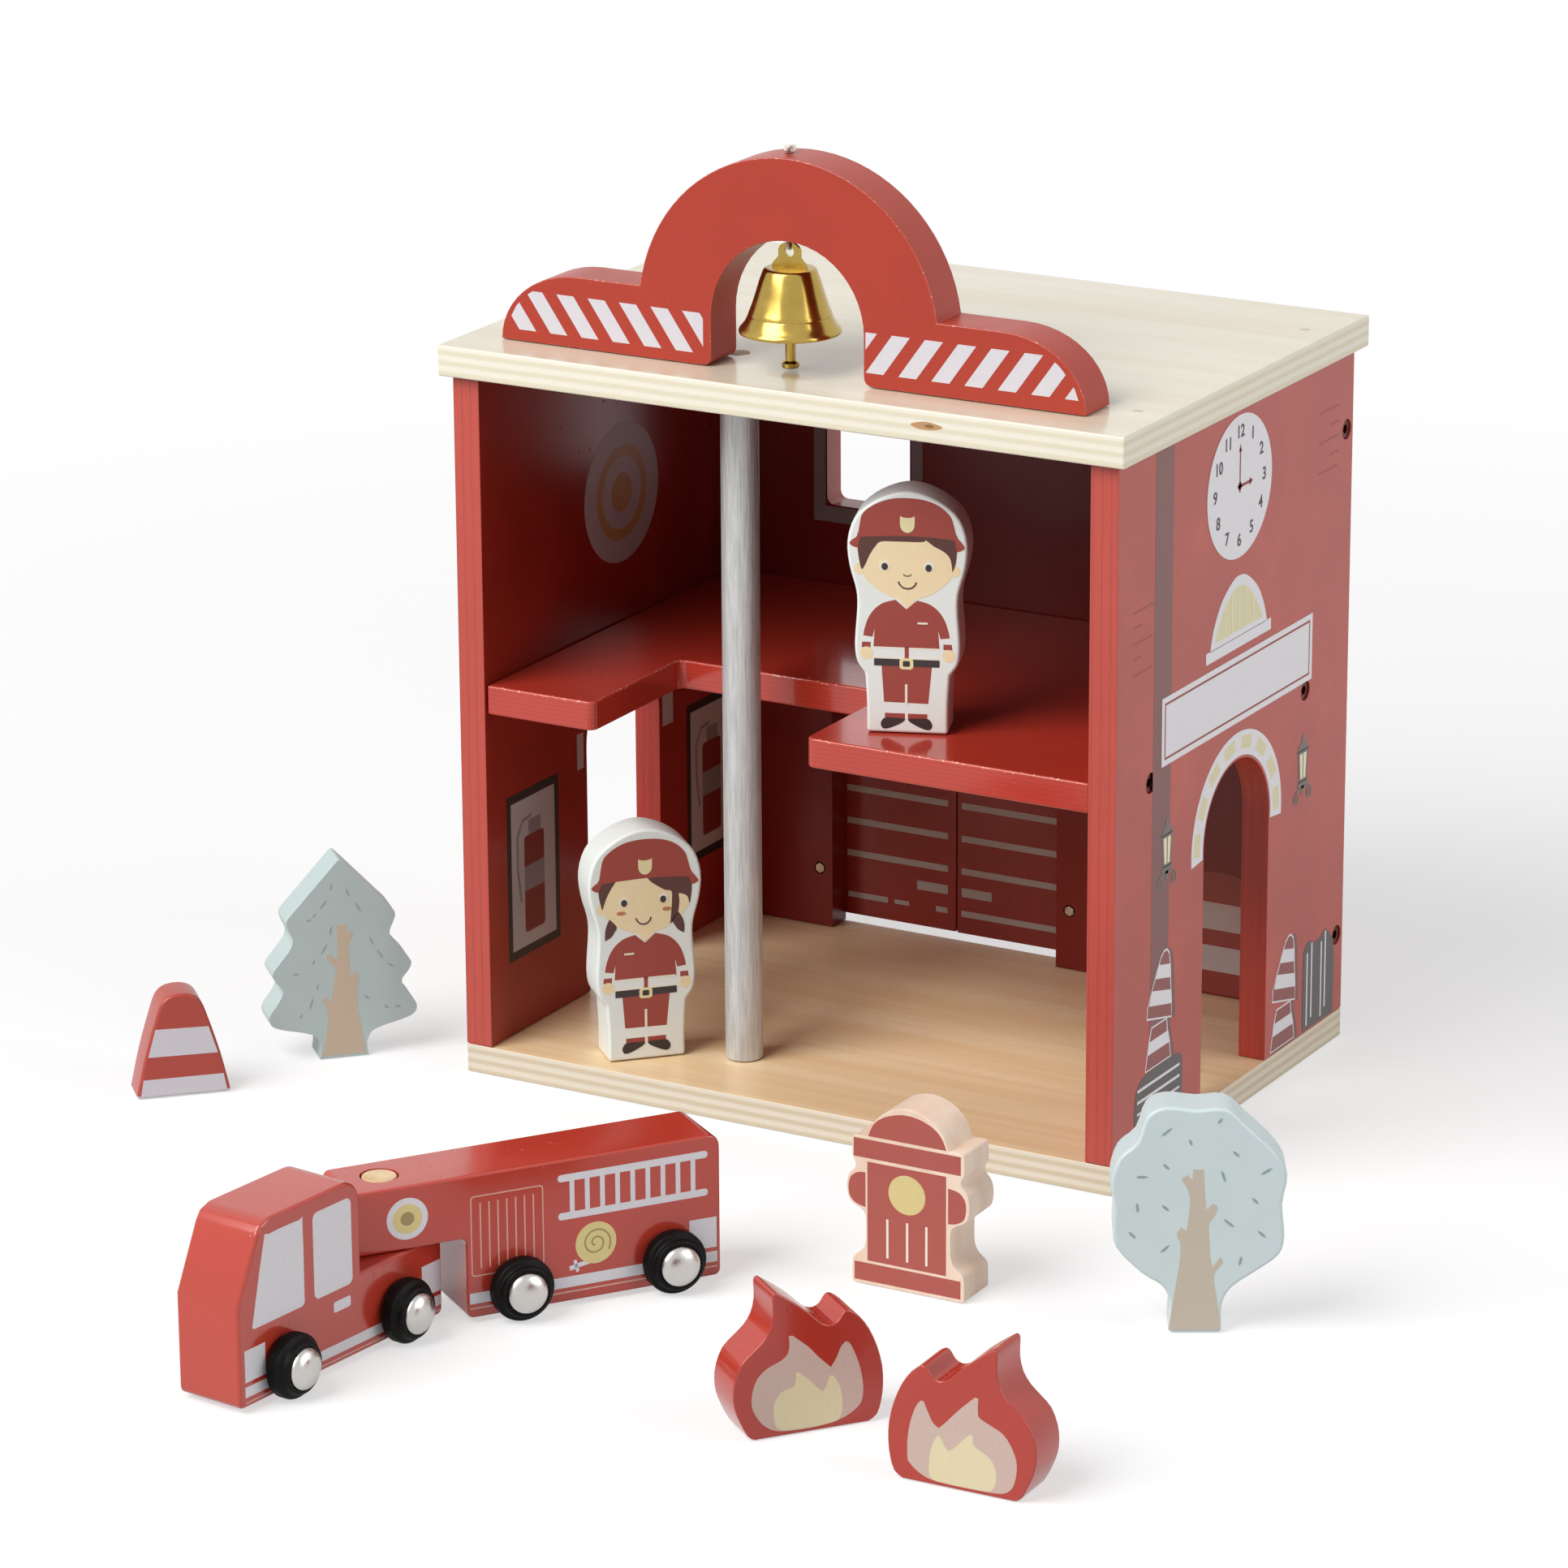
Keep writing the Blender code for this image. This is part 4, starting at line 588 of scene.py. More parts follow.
outer_faces = (("right", right_outside, 1), ("left", left_outside, -1))
for side, place, mirror in outer_faces:
    row_print(f"{side}_wall_brick_lines", "house", place,
              [(3, (mirror * -70, 175.5), (0, 10.6), (14, 0.8), 0),
               (3, (mirror * 69.5, 210), (0, 10.5), (15, 0.8), 0),
               (2, (mirror * -74, 181), (0, 10.6), (6, 0.8), 0),
               (2, (mirror * 74, 215), (0, 10.5), (7, 0.8), 0)], brick_line)
arch_stones = arc_tree()
stone_arc = {"Start Angle": math.radians(6), "Sweep Angle": math.radians(168)}
for side, place, mirror in outer_faces:
    stones = grown(arch_stones, Count=8, Radius=30.4, Block=(4.6, 8.0, 0.2), Finish=pane_yellow, **stone_arc)
    stones.transform(place @ Matrix.Translation((mirror * 2, 100.5, -0.03)))
    dressed(placed(f"{side}_doorway_stones", stones), "house")


# Inside of the left wall. The print goes on over the enamel here too: two framed cabinets with an
# extinguisher in each, one on each side of the doorway, and a plain round motif above it.

ink_black = printing_ink("black screen ink", "2E2724")
smoke_white = printing_ink("smoke white screen ink", "B9AFB0")
label_grey = printing_ink("label grey screen ink", "8D8284")
cabinet_red = printing_ink("cabinet red screen ink", "7E2A22")
motif_tan = printing_ink("tan screen ink", "B98E5A")


def cabinet(u, v):
    """A framed cabinet about u, v: frame, back, can, and its label, neck and hose."""
    hose = [(u - 1, v + 20), (u - 7, v + 19), (u - 10.4, v + 14), (u - 10.4, v + 2), (u - 9, v - 6),
            (u - 8.4, v - 10)]
    return ([panel(u - 17, v - 30, u + 17, v + 30)], [panel(u - 14.3, v - 26.8, u + 14.3, v + 26.8)],
            [panel(u - 6, v - 22, u + 7, v + 13, 1.5)], [panel(u - 6, v - 7, u + 7, v + 2)],
            [panel(u - 3, v + 13, u + 5, v + 18.5, 1.0), brushed_line(hose, 1.3)])


cabinets = [cabinet(-59.5, 67), cabinet(63, 67)]
small_plates = [panel(-29.5, 94, -25.2, 107), panel(29.2, 94, 36.5, 107)]
motif = [(colour, [oval(3, 187, radius, steps=steps)])
         for colour, radius, steps in ((smoke_white, 25, 48), (motif_tan, 17, 40), (smoke_white, 13, 40),
                                       (motif_tan, 7, 32))]
printed("left_wall_inside_print", "house", face_frame(-WALL_IN, 0, 0, 90),
        [(ink_black, every(cabinets, 0)), (smoke_white, every(cabinets, 1) + small_plates),
         (cabinet_red, every(cabinets, 2)), (label_grey, every(cabinets, 3) + every(cabinets, 4))] + motif)


# Back wall. The same painted plywood, with a window high up and the gateway below. A grey
# window surround and a striped barrel are printed on its inside.

# The inside of the back wall, with its lower edges and the gateway's jambs, takes a much darker red than the
# outside: painted shade for the dim back of the rooms.
shaded_back_red = enamel("red enamel on the back wall, darkened as painted shade", "7A1B11", 0.24, "Y", FLAT_GRAIN, specular=0.3)
rear_red = enamel("red enamel on the outside of the back", "B23E2E", 0.27, "Y", FLAT_GRAIN)
sanded("back_wall_painted", "back_wall", "house", "house_red", EDGE_EASE, [shaded_back_red, rear_red],
       lambda n, c: 1 if n.y > 0.9 or abs(n.y) < 0.4 and c.z > 0.16 else 0)
BACK_IN, BACK_OUT = [corner.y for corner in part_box("back_wall")]
surround_grey = printing_ink("window surround grey screen ink", "8B7F7C")
barrel_red = printing_ink("barrel red screen ink", "8C3024")


def surround(mirror):
    """Four strips round the window opening."""
    u0, u1 = sorted((mirror * -80.6, mirror * -36.6))
    inner0, inner1 = sorted((mirror * -75.8, mirror * -41.0))
    return [panel(u0, 163.2, u1, 169.0), panel(u0, 215.2, u1, 220.6), panel(u0, 168.9, inner0, 215.3),
            panel(inner1, 168.9, u1, 215.3)]


barrel = drawn([(69, 10.9, 0), (69, 49), (71.4, 53.4), (77, 55.8), (87, 55.8), (92.6, 53.4), (95, 49),
                (95, 10.9, 0)], 4)
printed("back_wall_inside_print", "house", face_frame(0, BACK_IN, 0, 0),
        [(surround_grey, surround(1)), (barrel_red, [barrel]),
         (smoke_white, [panel(69, 34.6, 95, 44.6), panel(69, 19.2, 95, 28.6)])])
printed("back_wall_outside_print", "house", face_frame(0, BACK_OUT, 0, 180), [(surround_grey, surround(-1))])


# Mid floor. Red plywood 10 mm thick, with a notch that the pole passes through. Its top has a
# higher gloss than the walls, so the figure's feet mirror in it.

floor_grain = (60, 2.6, 2.6)
floor_red = enamel("high gloss red enamel of the mid floor", "BE3A2A", 0.13, "Z", floor_grain, coat=0.3)
rubbed_red = enamel("red enamel rubbed at the floor's edges", "C04435", 0.2, None, floor_grain, chipped=0.8)
sanded("mid_floor_painted", "mid_floor", "house", "house_red", 0.0009, [floor_red, rubbed_red],
       lambda n, c: 1 if max(abs(n.x), abs(n.y), abs(n.z)) < 0.95 and n.z > 0.2 else 0)


# Roof board. Plywood with a pale birch veneer under a thin clear lacquer. The pole's tenon, a few
# nail heads and small knots show in it.

NAIL_X, NAIL_FRONT, NAIL_BACK, ROOF_TOP = 0.1175, -0.0607, 0.0633, 0.2594
small_nail, wide_nail = (0.0011, 0.0011, 0.01), (0.0019, 0.0015, 0.01)
roof_stains_and_shade = [((-0.034, -0.0545, ROOF_TOP), (0.0032, 0.0032, 0.01), "9A7448", 0.8),
               # This patch behind the sign, under its arch, is painted shade with a painted warm reflection
               # of the red sign.
               ((-0.003, -0.0752, ROOF_TOP), (0.0085, 0.0028, 0.01), "CBA577", 0.5),
               ((NAIL_X, NAIL_FRONT, ROOF_TOP), wide_nail, "A8906A", 0.7),
               ((NAIL_X + 0.0008, NAIL_BACK, ROOF_TOP), wide_nail, "A8906A", 0.7),
               ((-NAIL_X, NAIL_FRONT, ROOF_TOP), small_nail, "A8906A", 0.8),
               ((-NAIL_X - 0.0008, NAIL_BACK, ROOF_TOP), small_nail, "A8906A", 0.8)]


def roof_veneer(name):
    """Pale birch, thinly lacquered, with soft figure, its stains and a patch of painted shade behind the
    sign: middle, reach, tone and depth.
    """
    material, tree = finish_named(name, Roughness=0.36, IOR=1.5, Coat_Weight=0.6, Coat_Roughness=0.14)
    figure = spread(tree, fibres(tree, [150, 11, 11], 4.0), 0.35, 0.68)
    lines = fibres(tree, [70, 0.9, 0.9], 2.0)
    wood = tinted(tree, figure, "E1DAC5", "DACFB6")
    wood = tinted(tree, spread(tree, lines, 0.52, 0.82, 0.0, 0.3), wood, "D9CDB0")
    where = add(tree, "ShaderNodeTexCoord").outputs["Object"]
    for middle, reach, tone, depth in roof_stains_and_shade:
        place = add(tree, "ShaderNodeMapping", {"Vector": where, "Scale": [1 / r for r in reach],
                                                "Location": [-m / r for m, r in zip(middle, reach)]})
        away = add(tree, "ShaderNodeVectorMath", {0: place.outputs[0]}, operation="LENGTH").outputs["Value"]
        wood = tinted(tree, spread(tree, away, 1.12, 0.85, 0.0, depth), wood, tone)
    return set_shader(material, Base_Color=wood, Normal=embossed(tree, lines, 0.25, 0.00006))


roof_finishes = [roof_veneer("lacquered birch veneer"),
                 ply_edge("sanded plywood edge of the roof", "EAE4D4", "DED5BC"),
                 enamel("red enamel on the ceiling", "8A2A1E", 0.26, "Z", floor_grain)]
sanded("roof_plywood", "roof_board", "house", "bare_plywood", EDGE_EASE, roof_finishes,
       lambda n, c: 0 if n.z > 0.9 else 2 if n.z < -0.9 else 1)
knot_brown = printing_ink("brown of a knot", "B98F60", 0.55)
knot_heart = printing_ink("dark heart of a knot", "7E5B3A", 0.55)
knot = drawn([(51.6, 254.2), (55, 255.4), (59, 255.6), (63.4, 254.5), (60.4, 253.2), (55, 253.0)])
heart = drawn([(56.6, 254.3), (58.6, 254.9), (60.4, 254.3), (58.4, 253.8)])
printed("roof_edge_knot", "house", face_frame(0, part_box("roof_board")[0].y, 0, 0),
        [(knot_brown, [knot]), (knot_heart, [heart])], 0.01)


# Slide pole. A 13 mm turned beech dowel, brushed with silver paint, so its fine grain shows as
# darker streaks along it. It is glued into the base and the roof by its tenons.

def silver_dowel(name):
    material, tree = finish_named(name, Roughness=0.42, Metallic=0.35)
    streaks = spread(tree, fibres(tree, [0.7, 0.7, 14]), 0.38, 0.66)
    pores = spread(tree, fibres(tree, [0.5, 0.5, 5], 1.0), 0.68, 0.76, 0.0, 0.3)
    paint = tinted(tree, pores, tinted(tree, streaks, "CFCFCD", "B6B7B7"), "A0A2A4")
    return set_shader(material, Base_Color=paint, Normal=embossed(tree, streaks, 0.5, 0.0001))


tenon_end = veneer("oiled end grain of the tenon", "B68C5C", "96703F", "7E5A34", "Z", 0.45)
sanded("slide_pole", "pole", "house", "silver_paint", 0.0004,
       [silver_dowel("silver paint on a beech dowel"), tenon_end],
       lambda n, c: 1 if c.z > 0.2 and n.z > 0.5 else 0)


# Furniture bolts. Blackened steel, sunk into the side walls: two into the edge of the mid floor
# and two into the back wall on each side.

def bare_metal(name, code, rough, size=0.8, spread_by=0.12):
    """Metal as it comes from the tumbler: small changes in gloss from handling, very fine scratches."""
    material, tree = finish_named(name, Metallic=1.0, Roughness=rough)
    touch = fibres(tree, size * 4)
    gloss = spread(tree, touch, 0.3, 0.7, max(rough - spread_by, 0.04), rough + spread_by)
    scratch = embossed(tree, fibres(tree, [size, size, size / 4], 2.0), 0.12, 0.00003)
    return set_shader(material, Roughness=gloss, Base_Color=tinted(tree, touch, darker(code, 0.86), code),
                      Normal=scratch)


black_steel = bare_metal("browned steel", "5A2620", 0.34)
for side in ("left", "right"):
    for word in ("floor_front", "floor_back", "back_low", "back_high"):
        bolt = f"{side}_bolt_{word}"
        sanded(f"{bolt}_steel", bolt, "house", "dark_bolt", 0.0002, [black_steel])


# Gate leaves. Two 6 mm painted plywood leaves outside the gateway, each turning on a steel rod in
# two eyebolts. Grey bars are printed across both faces, with a short handle bar at the middle.

leaf_grain = (2.4, 2.4, 60)
# The inner faces and edges of the leaves take a darker red than their outer faces: painted shade, as they
# face into the dim house.
leaf_finishes = [enamel("red enamel on the gate leaves", "88241A", 0.27, "Y", leaf_grain, 0.0012),
                 enamel("red enamel on the outside of the leaves", "B03B2C", 0.27, "Y", leaf_grain, 0.0012)]
zinc = bare_metal("zinc plated steel", "B9A898", 0.3)
bar_grey = printing_ink("grey bar screen ink", "A39994")
LEAF_IN, LEAF_OUT = [corner.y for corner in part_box("gate_leaf_left")]
leaf_faces = (("inner", face_frame(0, LEAF_IN, 0, 0), 1), ("outer", face_frame(0, LEAF_OUT, 0, 180), -1))
leaf_ends = {"left": (-73.0, -31.6), "right": (-26.0, 12.7)}
handle_bars = {"left": (-37.9, 12.6), "right": (-19.8, 12.2)}
for side, (u0, u1) in leaf_ends.items():
    leaf = f"gate_leaf_{side}"
    sanded(f"{leaf}_painted", leaf, leaf, "house_red", 0.0006, leaf_finishes,
           lambda n, c: 1 if n.y > 0.3 else 0)
    handle_u, handle_long = handle_bars[side]
    low_bars = [(-64.5, 20.3, 16.5, 2.1), (-50.6, 20.3, 6, 1.6), (-34.1, 20.3, 4.8, 2.1)]
    if side == "right":
        low_bars = [((u0 + u1) / 2, 20.1, u1 - u0, 2.3)]
    for face, place, mirror in leaf_faces:
        rows = [(6, (mirror * (u0 + u1) / 2, 36.2), (0, 12.4), (u1 - u0, 2.4), 0)]
        rows += [(1, (mirror * u, v), (0, 1), (long, high), 0)
                 for u, v, long, high in [(handle_u, 28.2, handle_long, 3.4)] + low_bars]
        row_print(f"{leaf}_{face}_bars", leaf, place, rows, bar_grey)
    sanded(f"gate_rod_{side}_steel", f"gate_rod_{side}", "house", "zinc_steel", 0, [zinc])
    for level in ("low", "high"):
        eye = f"gate_eye_{side}_{level}"
        sanded(f"{eye}_steel", eye, "house", "zinc_steel", 0, [zinc])


# Sign. An arch with two wings, cut from 17 mm board and sprayed red, glued to the front of the
# roof. White slanted bars are printed on the wings; the arch between them is bare.

sign_grain = (40, 3.0, 0.9)
sign_red = enamel("red enamel on the sign", "AC3927", 0.34, None, sign_grain, specular=0.35)
worn_sign = enamel("red enamel rubbed at the sign's edges", "B54433", 0.3, None, sign_grain, chipped=0.7)
stripe_white = printing_ink("white screen ink of the stripes", "D3CFD5")
sanded("arched_sign", "sign_arch", "house", "sign_red", 0.0011, [sign_red, worn_sign],
       lambda n, c: 1 if 0.15 < abs(n.y) < 0.97 else 0)
sign_front = face_frame(0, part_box("sign_arch")[0].y, 0, 0)


def clipped_bars(piece, row, outline, colour):
    """Slanted bars in a row, trimmed to a convex outline that runs anticlockwise."""
    bm = joined([bars(row, colour, 0.045)])
    bmesh.ops.remove_doubles(bm, verts=bm.verts, dist=1e-4)
    for a, b in zip(outline, outline[1:] + outline[:1]):
        bmesh.ops.bisect_plane(bm, geom=bm.verts[:] + bm.edges[:] + bm.faces[:], dist=1e-5, clear_outer=True,
                               plane_co=(a[0], a[1], 0), plane_no=(b[1] - a[1], a[0] - b[0], 0))
        bmesh.ops.holes_fill(bm, edges=[e for e in bm.edges if e.is_boundary], sides=0)
    bmesh.ops.recalc_face_normals(bm, faces=bm.faces)
    bm.transform(sign_front)
    return dressed(smoothed(piece, bm, [colour], 20, even=False), "house")


left_field = [(-35.2, 263.6), (-35.2, 277.3), (-101.0, 277.3), (-104.5, 275.0), (-107.5, 271.6),
              (-109.6, 267.8), (-110.8, 263.6)]
right_field = [(26.0, 278.0), (26.0, 264.5), (103.8, 264.5), (102.6, 267.8), (100.0, 271.6), (96.6, 275.2),
               (92.6, 278.0)]
stripe_size, stripe_step = (6.6, 18.0), (12.15, 0)
clipped_bars("sign_left_stripes", (8, (-107.9, 270.45), stripe_step, stripe_size, -0.70), left_field,
             stripe_white)
clipped_bars("sign_right_stripes", (8, (22.05, 271.25), stripe_step, stripe_size, 0.726), right_field,
             stripe_white)


# Bell and clapper. The bell is spun from thin brass sheet and polished, with a pressed lug; the
# clapper is a turned brass rod with a flanged end. Both carry a light lacquer.

def corner_ring(bm, centre, r, x, y, sides):
    turns = [2 * math.pi * k / sides for k in range(sides)]
    return [bm.verts.new(centre + r * (x * math.cos(t) + y * math.sin(t))) for t in turns]


def turned(profile, start, axis, sides):
    """A closed profile of radius and distance along the axis, turned into a solid."""
    z = Vector(axis).normalized()
    x = z.orthogonal().normalized()
    y = z.cross(x)
    bm = bmesh.new()
    rings = []
    for r, along in profile:
        centre = Vector(start) + z * along
        rings.append(corner_ring(bm, centre, r, x, y, sides) if r > 0 else [bm.verts.new(centre)])
    pairs = list(zip(rings, rings[1:]))
    if min(len(rings[0]), len(rings[-1])) > 1:
        pairs.append((rings[-1], rings[0]))
    for a, b in pairs:
        for k in range(sides):
            n = (k + 1) % sides
            corners = [a[0]] if len(a) == 1 else [a[k], a[n]]
            corners += [b[0]] if len(b) == 1 else [b[n], b[k]]
            if len(corners) > 2:
                bm.faces.new(corners)
    bmesh.ops.recalc_face_normals(bm, faces=bm.faces)
    return bm


def bent_wire(points, r, closed=False, sides=14):
    """A round wire through the points."""
    bm = bmesh.new()
    points = [Vector(p) for p in points]
    last = len(points) - 1
    rings, side = [], None
    for i, p in enumerate(points):
        a = points[i - 1] if closed or i else p
        b = points[(i + 1) % len(points)] if closed or i < last else p
        along = (b - a).normalized()
        side = (side - along * side.dot(along)).normalized() if side else along.orthogonal().normalized()
        rings.append(corner_ring(bm, p, r, side, along.cross(side), sides))
    for a, b in zip(rings, rings[1:] + (rings[:1] if closed else [])):
        shift = min(range(sides), key=lambda s: (b[s].co - a[0].co).length) if a is rings[-1] else 0
        for k in range(sides):
            bm.faces.new((a[k], a[(k + 1) % sides], b[(k + 1 + shift) % sides], b[(k + shift) % sides]))
    if not closed:
        bm.faces.new(rings[0][::-1])
        bm.faces.new(rings[-1])
    bmesh.ops.recalc_face_normals(bm, faces=bm.faces)
    return bm


def thick_plate(rings, y0, y1):
    """A plate from y0 to y1 with an outline and a hole, given as rings of x and z."""
    bm = bmesh.new()
    faces = []
    for y in (y0, y1):
        loops = [[bm.verts.new((x, y, z)) for x, z in ring] for ring in rings]
        edges = [bm.edges.new((loop[i - 1], loop[i])) for loop in loops for i in range(len(loop))]
        bmesh.ops.triangle_fill(bm, edges=edges, use_beauty=True, use_dissolve=False)
        faces.append(loops)
    for near, far in zip(*faces):
        for i in range(len(near)):
            j = (i + 1) % len(near)
            bm.faces.new((near[i], near[j], far[j], far[i]))
    bmesh.ops.recalc_face_normals(bm, faces=bm.faces)
    return bm


def polished_brass(name):
    """Spun and lacquered brass: a mirror with faint rings from the lathe and a few dull patches."""
    material, tree = finish_named(name, Metallic=1.0, Roughness=0.16)
    patch = fibres(tree, 6)
    gloss = spread(tree, patch, 0.35, 0.72, 0.17, 0.26)
    spun = embossed(tree, fibres(tree, [40, 40, 0.35], 2.0), 0.06, 0.00002)
    return set_shader(material, Roughness=gloss, Base_Color=tinted(tree, patch, "A68B42", "BCA156"),
                      Normal=spun)


brass = polished_brass("lacquered spun brass")


def brass_piece(piece, bm, angle, body, *replaced):
    return dressed(smoothed(piece, bm, [brass], angle), body, "bell_brass", *replaced)


BELL_X, BELL_Y, BELL_TOP = -0.0069, -0.0675, 0.2942
CROWN_R, MOUTH_R = 0.0089, 0.0171
SHEET, TALL = 0.0008, 0.0216
waist = [(0.00, 0.03), (0.035, 0.06), (0.17, 0.20), (0.27, 0.33), (0.36, 0.44), (0.46, 0.56),
         (0.56, 0.66), (0.615, 0.715), (0.60, 0.728), (0.64, 0.745), (0.73, 0.82), (0.82, 0.872),
         (0.90, 0.91), (0.965, 0.937), (0.995, 0.962), (0.995, 0.985), (0.975, 1.00)]
outside = [(0, 0), (CROWN_R * 0.86, 0), (CROWN_R * 0.955, -0.0002)]
outside += [(CROWN_R + u * (MOUTH_R - CROWN_R), -v * TALL) for u, v in waist]
inside = [(r - SHEET, h) for r, h in reversed(outside[3:])] + [(0, -SHEET)]
shell = turned(outside + inside, (BELL_X, BELL_Y, BELL_TOP), (0, 0, 1), 80)
brass_piece("brass_bell", shell, 50, "bell", "bell")

LUG_Z, LUG_R, LUG_HALF = 0.2996, 0.0041, 0.0006
STAPLE_Z, STAPLE_R = 0.2937, 0.0026
CLAPPER_RING_Z, STRIKER_TOP = 0.2911, 0.2895
flare = [(0.0067, BELL_TOP - 0.0003), (0.0064, 0.2950), (0.0057, 0.2960), (0.0048, 0.2969), (LUG_R, 0.2978)]
lug = flare + oval(0, LUG_Z, LUG_R, 0.0032, 5, 175, 17) + [(-x, z) for x, z in reversed(flare)]
lug_rings = [moved(ring, BELL_X, 0) for ring in (lug, oval(0, LUG_Z, 0.0018, steps=30))]
brass_piece("brass_bell_lug", thick_plate(lug_rings, BELL_Y - LUG_HALF, BELL_Y + LUG_HALF), 40, "bell")
staple = [(BELL_X, y, z) for y, z in oval(BELL_Y, STAPLE_Z, -STAPLE_R, -STAPLE_R, 0, 180, 15)]
brass_piece("brass_bell_staple", bent_wire(staple, 0.0006), 60, "bell")
striker = [(0, 0), (0.00055, 0), (0.0013, 0.0006), (0.0017, 0.0017), (0.0017, 0.0266), (0.0024, 0.0269),
           (0.0029, 0.0274), (0.0029, 0.0286), (0.0026, 0.0290), (0, 0.0291)]
striker_rod = turned(striker, (BELL_X, BELL_Y, STRIKER_TOP), (0, 0, -1), 40)
brass_piece("brass_clapper", striker_rod, 40, "clapper", "clapper")
clapper_ring = [(x, BELL_Y, z) for x, z in oval(BELL_X, CLAPPER_RING_Z, 0.0016, steps=20)]
brass_piece("brass_clapper_ring", bent_wire(clapper_ring, 0.00055, True), 60, "clapper")


# Bell string. Three-ply white cotton twine, 1.2 mm thick: it comes up through the arch to a knot
# on top, and hangs below it in a short loop through the bell's lug.

def twine_tree():
    """Three strands twisted along a line of points: strand radius, its distance from the middle,
    the twist in radians per metre, and whether the line closes."""
    tree, given = growth("twisted twine", ("Strand", "Float"), ("Offset", "Float"), ("Twist", "Float"),
                         ("Closed", "Bool"))
    line = add(tree, "GeometryNodeMeshToCurve", {"Mesh": given["Geometry"]})
    shut = add(tree, "GeometryNodeSetSplineCyclic", {0: line.outputs[0], "Cyclic": given["Closed"]})
    turn = maths(tree, "MULTIPLY", add(tree, "GeometryNodeSplineParameter").outputs["Length"], given["Twist"])
    tilted = add(tree, "GeometryNodeSetCurveTilt", {0: shut.outputs[0], "Tilt": turn})
    strand = add(tree, "GeometryNodeCurvePrimitiveCircle", {"Resolution": 7, "Radius": given["Strand"]},
                 mode="RADIUS")
    beside = add(tree, "ShaderNodeCombineXYZ", {0: given["Offset"]})
    aside = add(tree, "GeometryNodeSetPosition", {"Geometry": strand.outputs[0], "Offset": beside.outputs[0]})
    bundle = add(tree, "GeometryNodeJoinGeometry")
    for third in range(3):
        there = add(tree, "GeometryNodeTransform", {"Geometry": aside.outputs[0],
                                                    "Rotation": (0, 0, third * 2 * math.pi / 3)})
        tree.links.new(there.outputs[0], bundle.inputs[0])
    cord = add(tree, "GeometryNodeCurveToMesh", {"Curve": tilted.outputs[0], "Fill Caps": True,
                                                 "Profile Curve": bundle.outputs[0]})
    return full_grown(tree, given, cord.outputs[0])


def cotton(name):
    material, tree = finish_named(name, Roughness=0.85, Sheen_Weight=0.3)
    return set_shader(material, Base_Color=tinted(tree, fibres(tree, 0.5), "DAD7D0", "F4F1EA"))


twine = twine_tree()
white_cotton = cotton("white cotton twine")


def twine_piece(piece, points, closed, body, node):
    """Twine through the points, in place of a plain CAD cord."""
    line = bpy.data.meshes.new("line")
    count = len(points)
    line.from_pydata(points, [(i, (i + 1) % count) for i in range(count if closed else count - 1)], [])
    bm = joined([grown(twine, line, Strand=0.00031, Offset=0.00029, Twist=1900.0, Closed=closed,
                       Finish=white_cotton)])
    bmesh.ops.remove_doubles(bm, verts=bm.verts, dist=1e-7)
    bmesh.ops.recalc_face_normals(bm, faces=bm.faces)
    return dressed(smoothed(piece, bm, [white_cotton], 60, even=False), body, "string", node)


LOOP_Z, RUN_FOOT, RUN_LONG = 0.3021, 0.3049, 0.0281
KNOT_Z, KNOT_R, KNOT_RISE = 0.3342, 0.00058, 0.0008
loop = [(BELL_X, y, z) for y, z in oval(BELL_Y, LOOP_Z, 0.0017, 0.0016, steps=36)]
twine_piece("bell_string_loop", loop, True, "cord_loop", "bell_cord_loop")
rise = [(BELL_X, BELL_Y, RUN_FOOT + RUN_LONG * k / 14) for k in range(15)]
turns = [2 * math.pi * k / 60 - 0.35 for k in range(3, 58)]
tied = [(BELL_X + KNOT_R * (math.sin(t) + 2 * math.sin(2 * t)),
         BELL_Y + KNOT_R * (math.cos(t) - 2 * math.cos(2 * t)), KNOT_Z - KNOT_RISE * math.sin(3 * t))
        for t in turns]
twine_piece("bell_string_knot", rise + tied, False, "house", "bell_cord")


# Figures. Two dolls sawn from 15 mm board, all edges rounded and sprayed satin white, with a
# uniformed child printed on the front of each. They stand loose.

def satin_paint(name, code):
    """Satin paint on sanded beech: even, with the faint grain and the sanding marks below it."""
    material, tree = finish_named(name, Roughness=0.42, IOR=1.5)
    cloud = fibres(tree, 14)
    raised = embossed(tree, fibres(tree, [2.6, 2.6, 40]), 0.3, 0.0001)
    sanding = embossed(tree, fibres(tree, 0.9, 2.0), 0.15, 0.00005, raised)
    return set_shader(material, Base_Color=tinted(tree, cloud, darker(code, 0.93), code), Normal=sanding,
                      Roughness=spread(tree, cloud, 0.3, 0.7, 0.48, 0.38))


BOARD_EASE = 0.0011
doll_white = satin_paint("satin white paint", "EBF0EB")
for body in ("girl", "boy"):
    sanded(f"{body}_doll", f"{body}_figure", body, "figure_white", BOARD_EASE, [doll_white])
cloth_red = printing_ink("uniform red screen ink", "9C3F33")
skin_tone = printing_ink("skin coloured screen ink", "F4DFB4")
hair_brown = printing_ink("hair brown screen ink", "542C25")
belt_black = printing_ink("belt black screen ink", "2F2220")
badge_yellow = printing_ink("badge yellow screen ink", "E9DFAC")
cheek_brown = printing_ink("cheek brown screen ink", "BF7A50")
cream_band = printing_ink("cream screen ink", "F1EBD9")


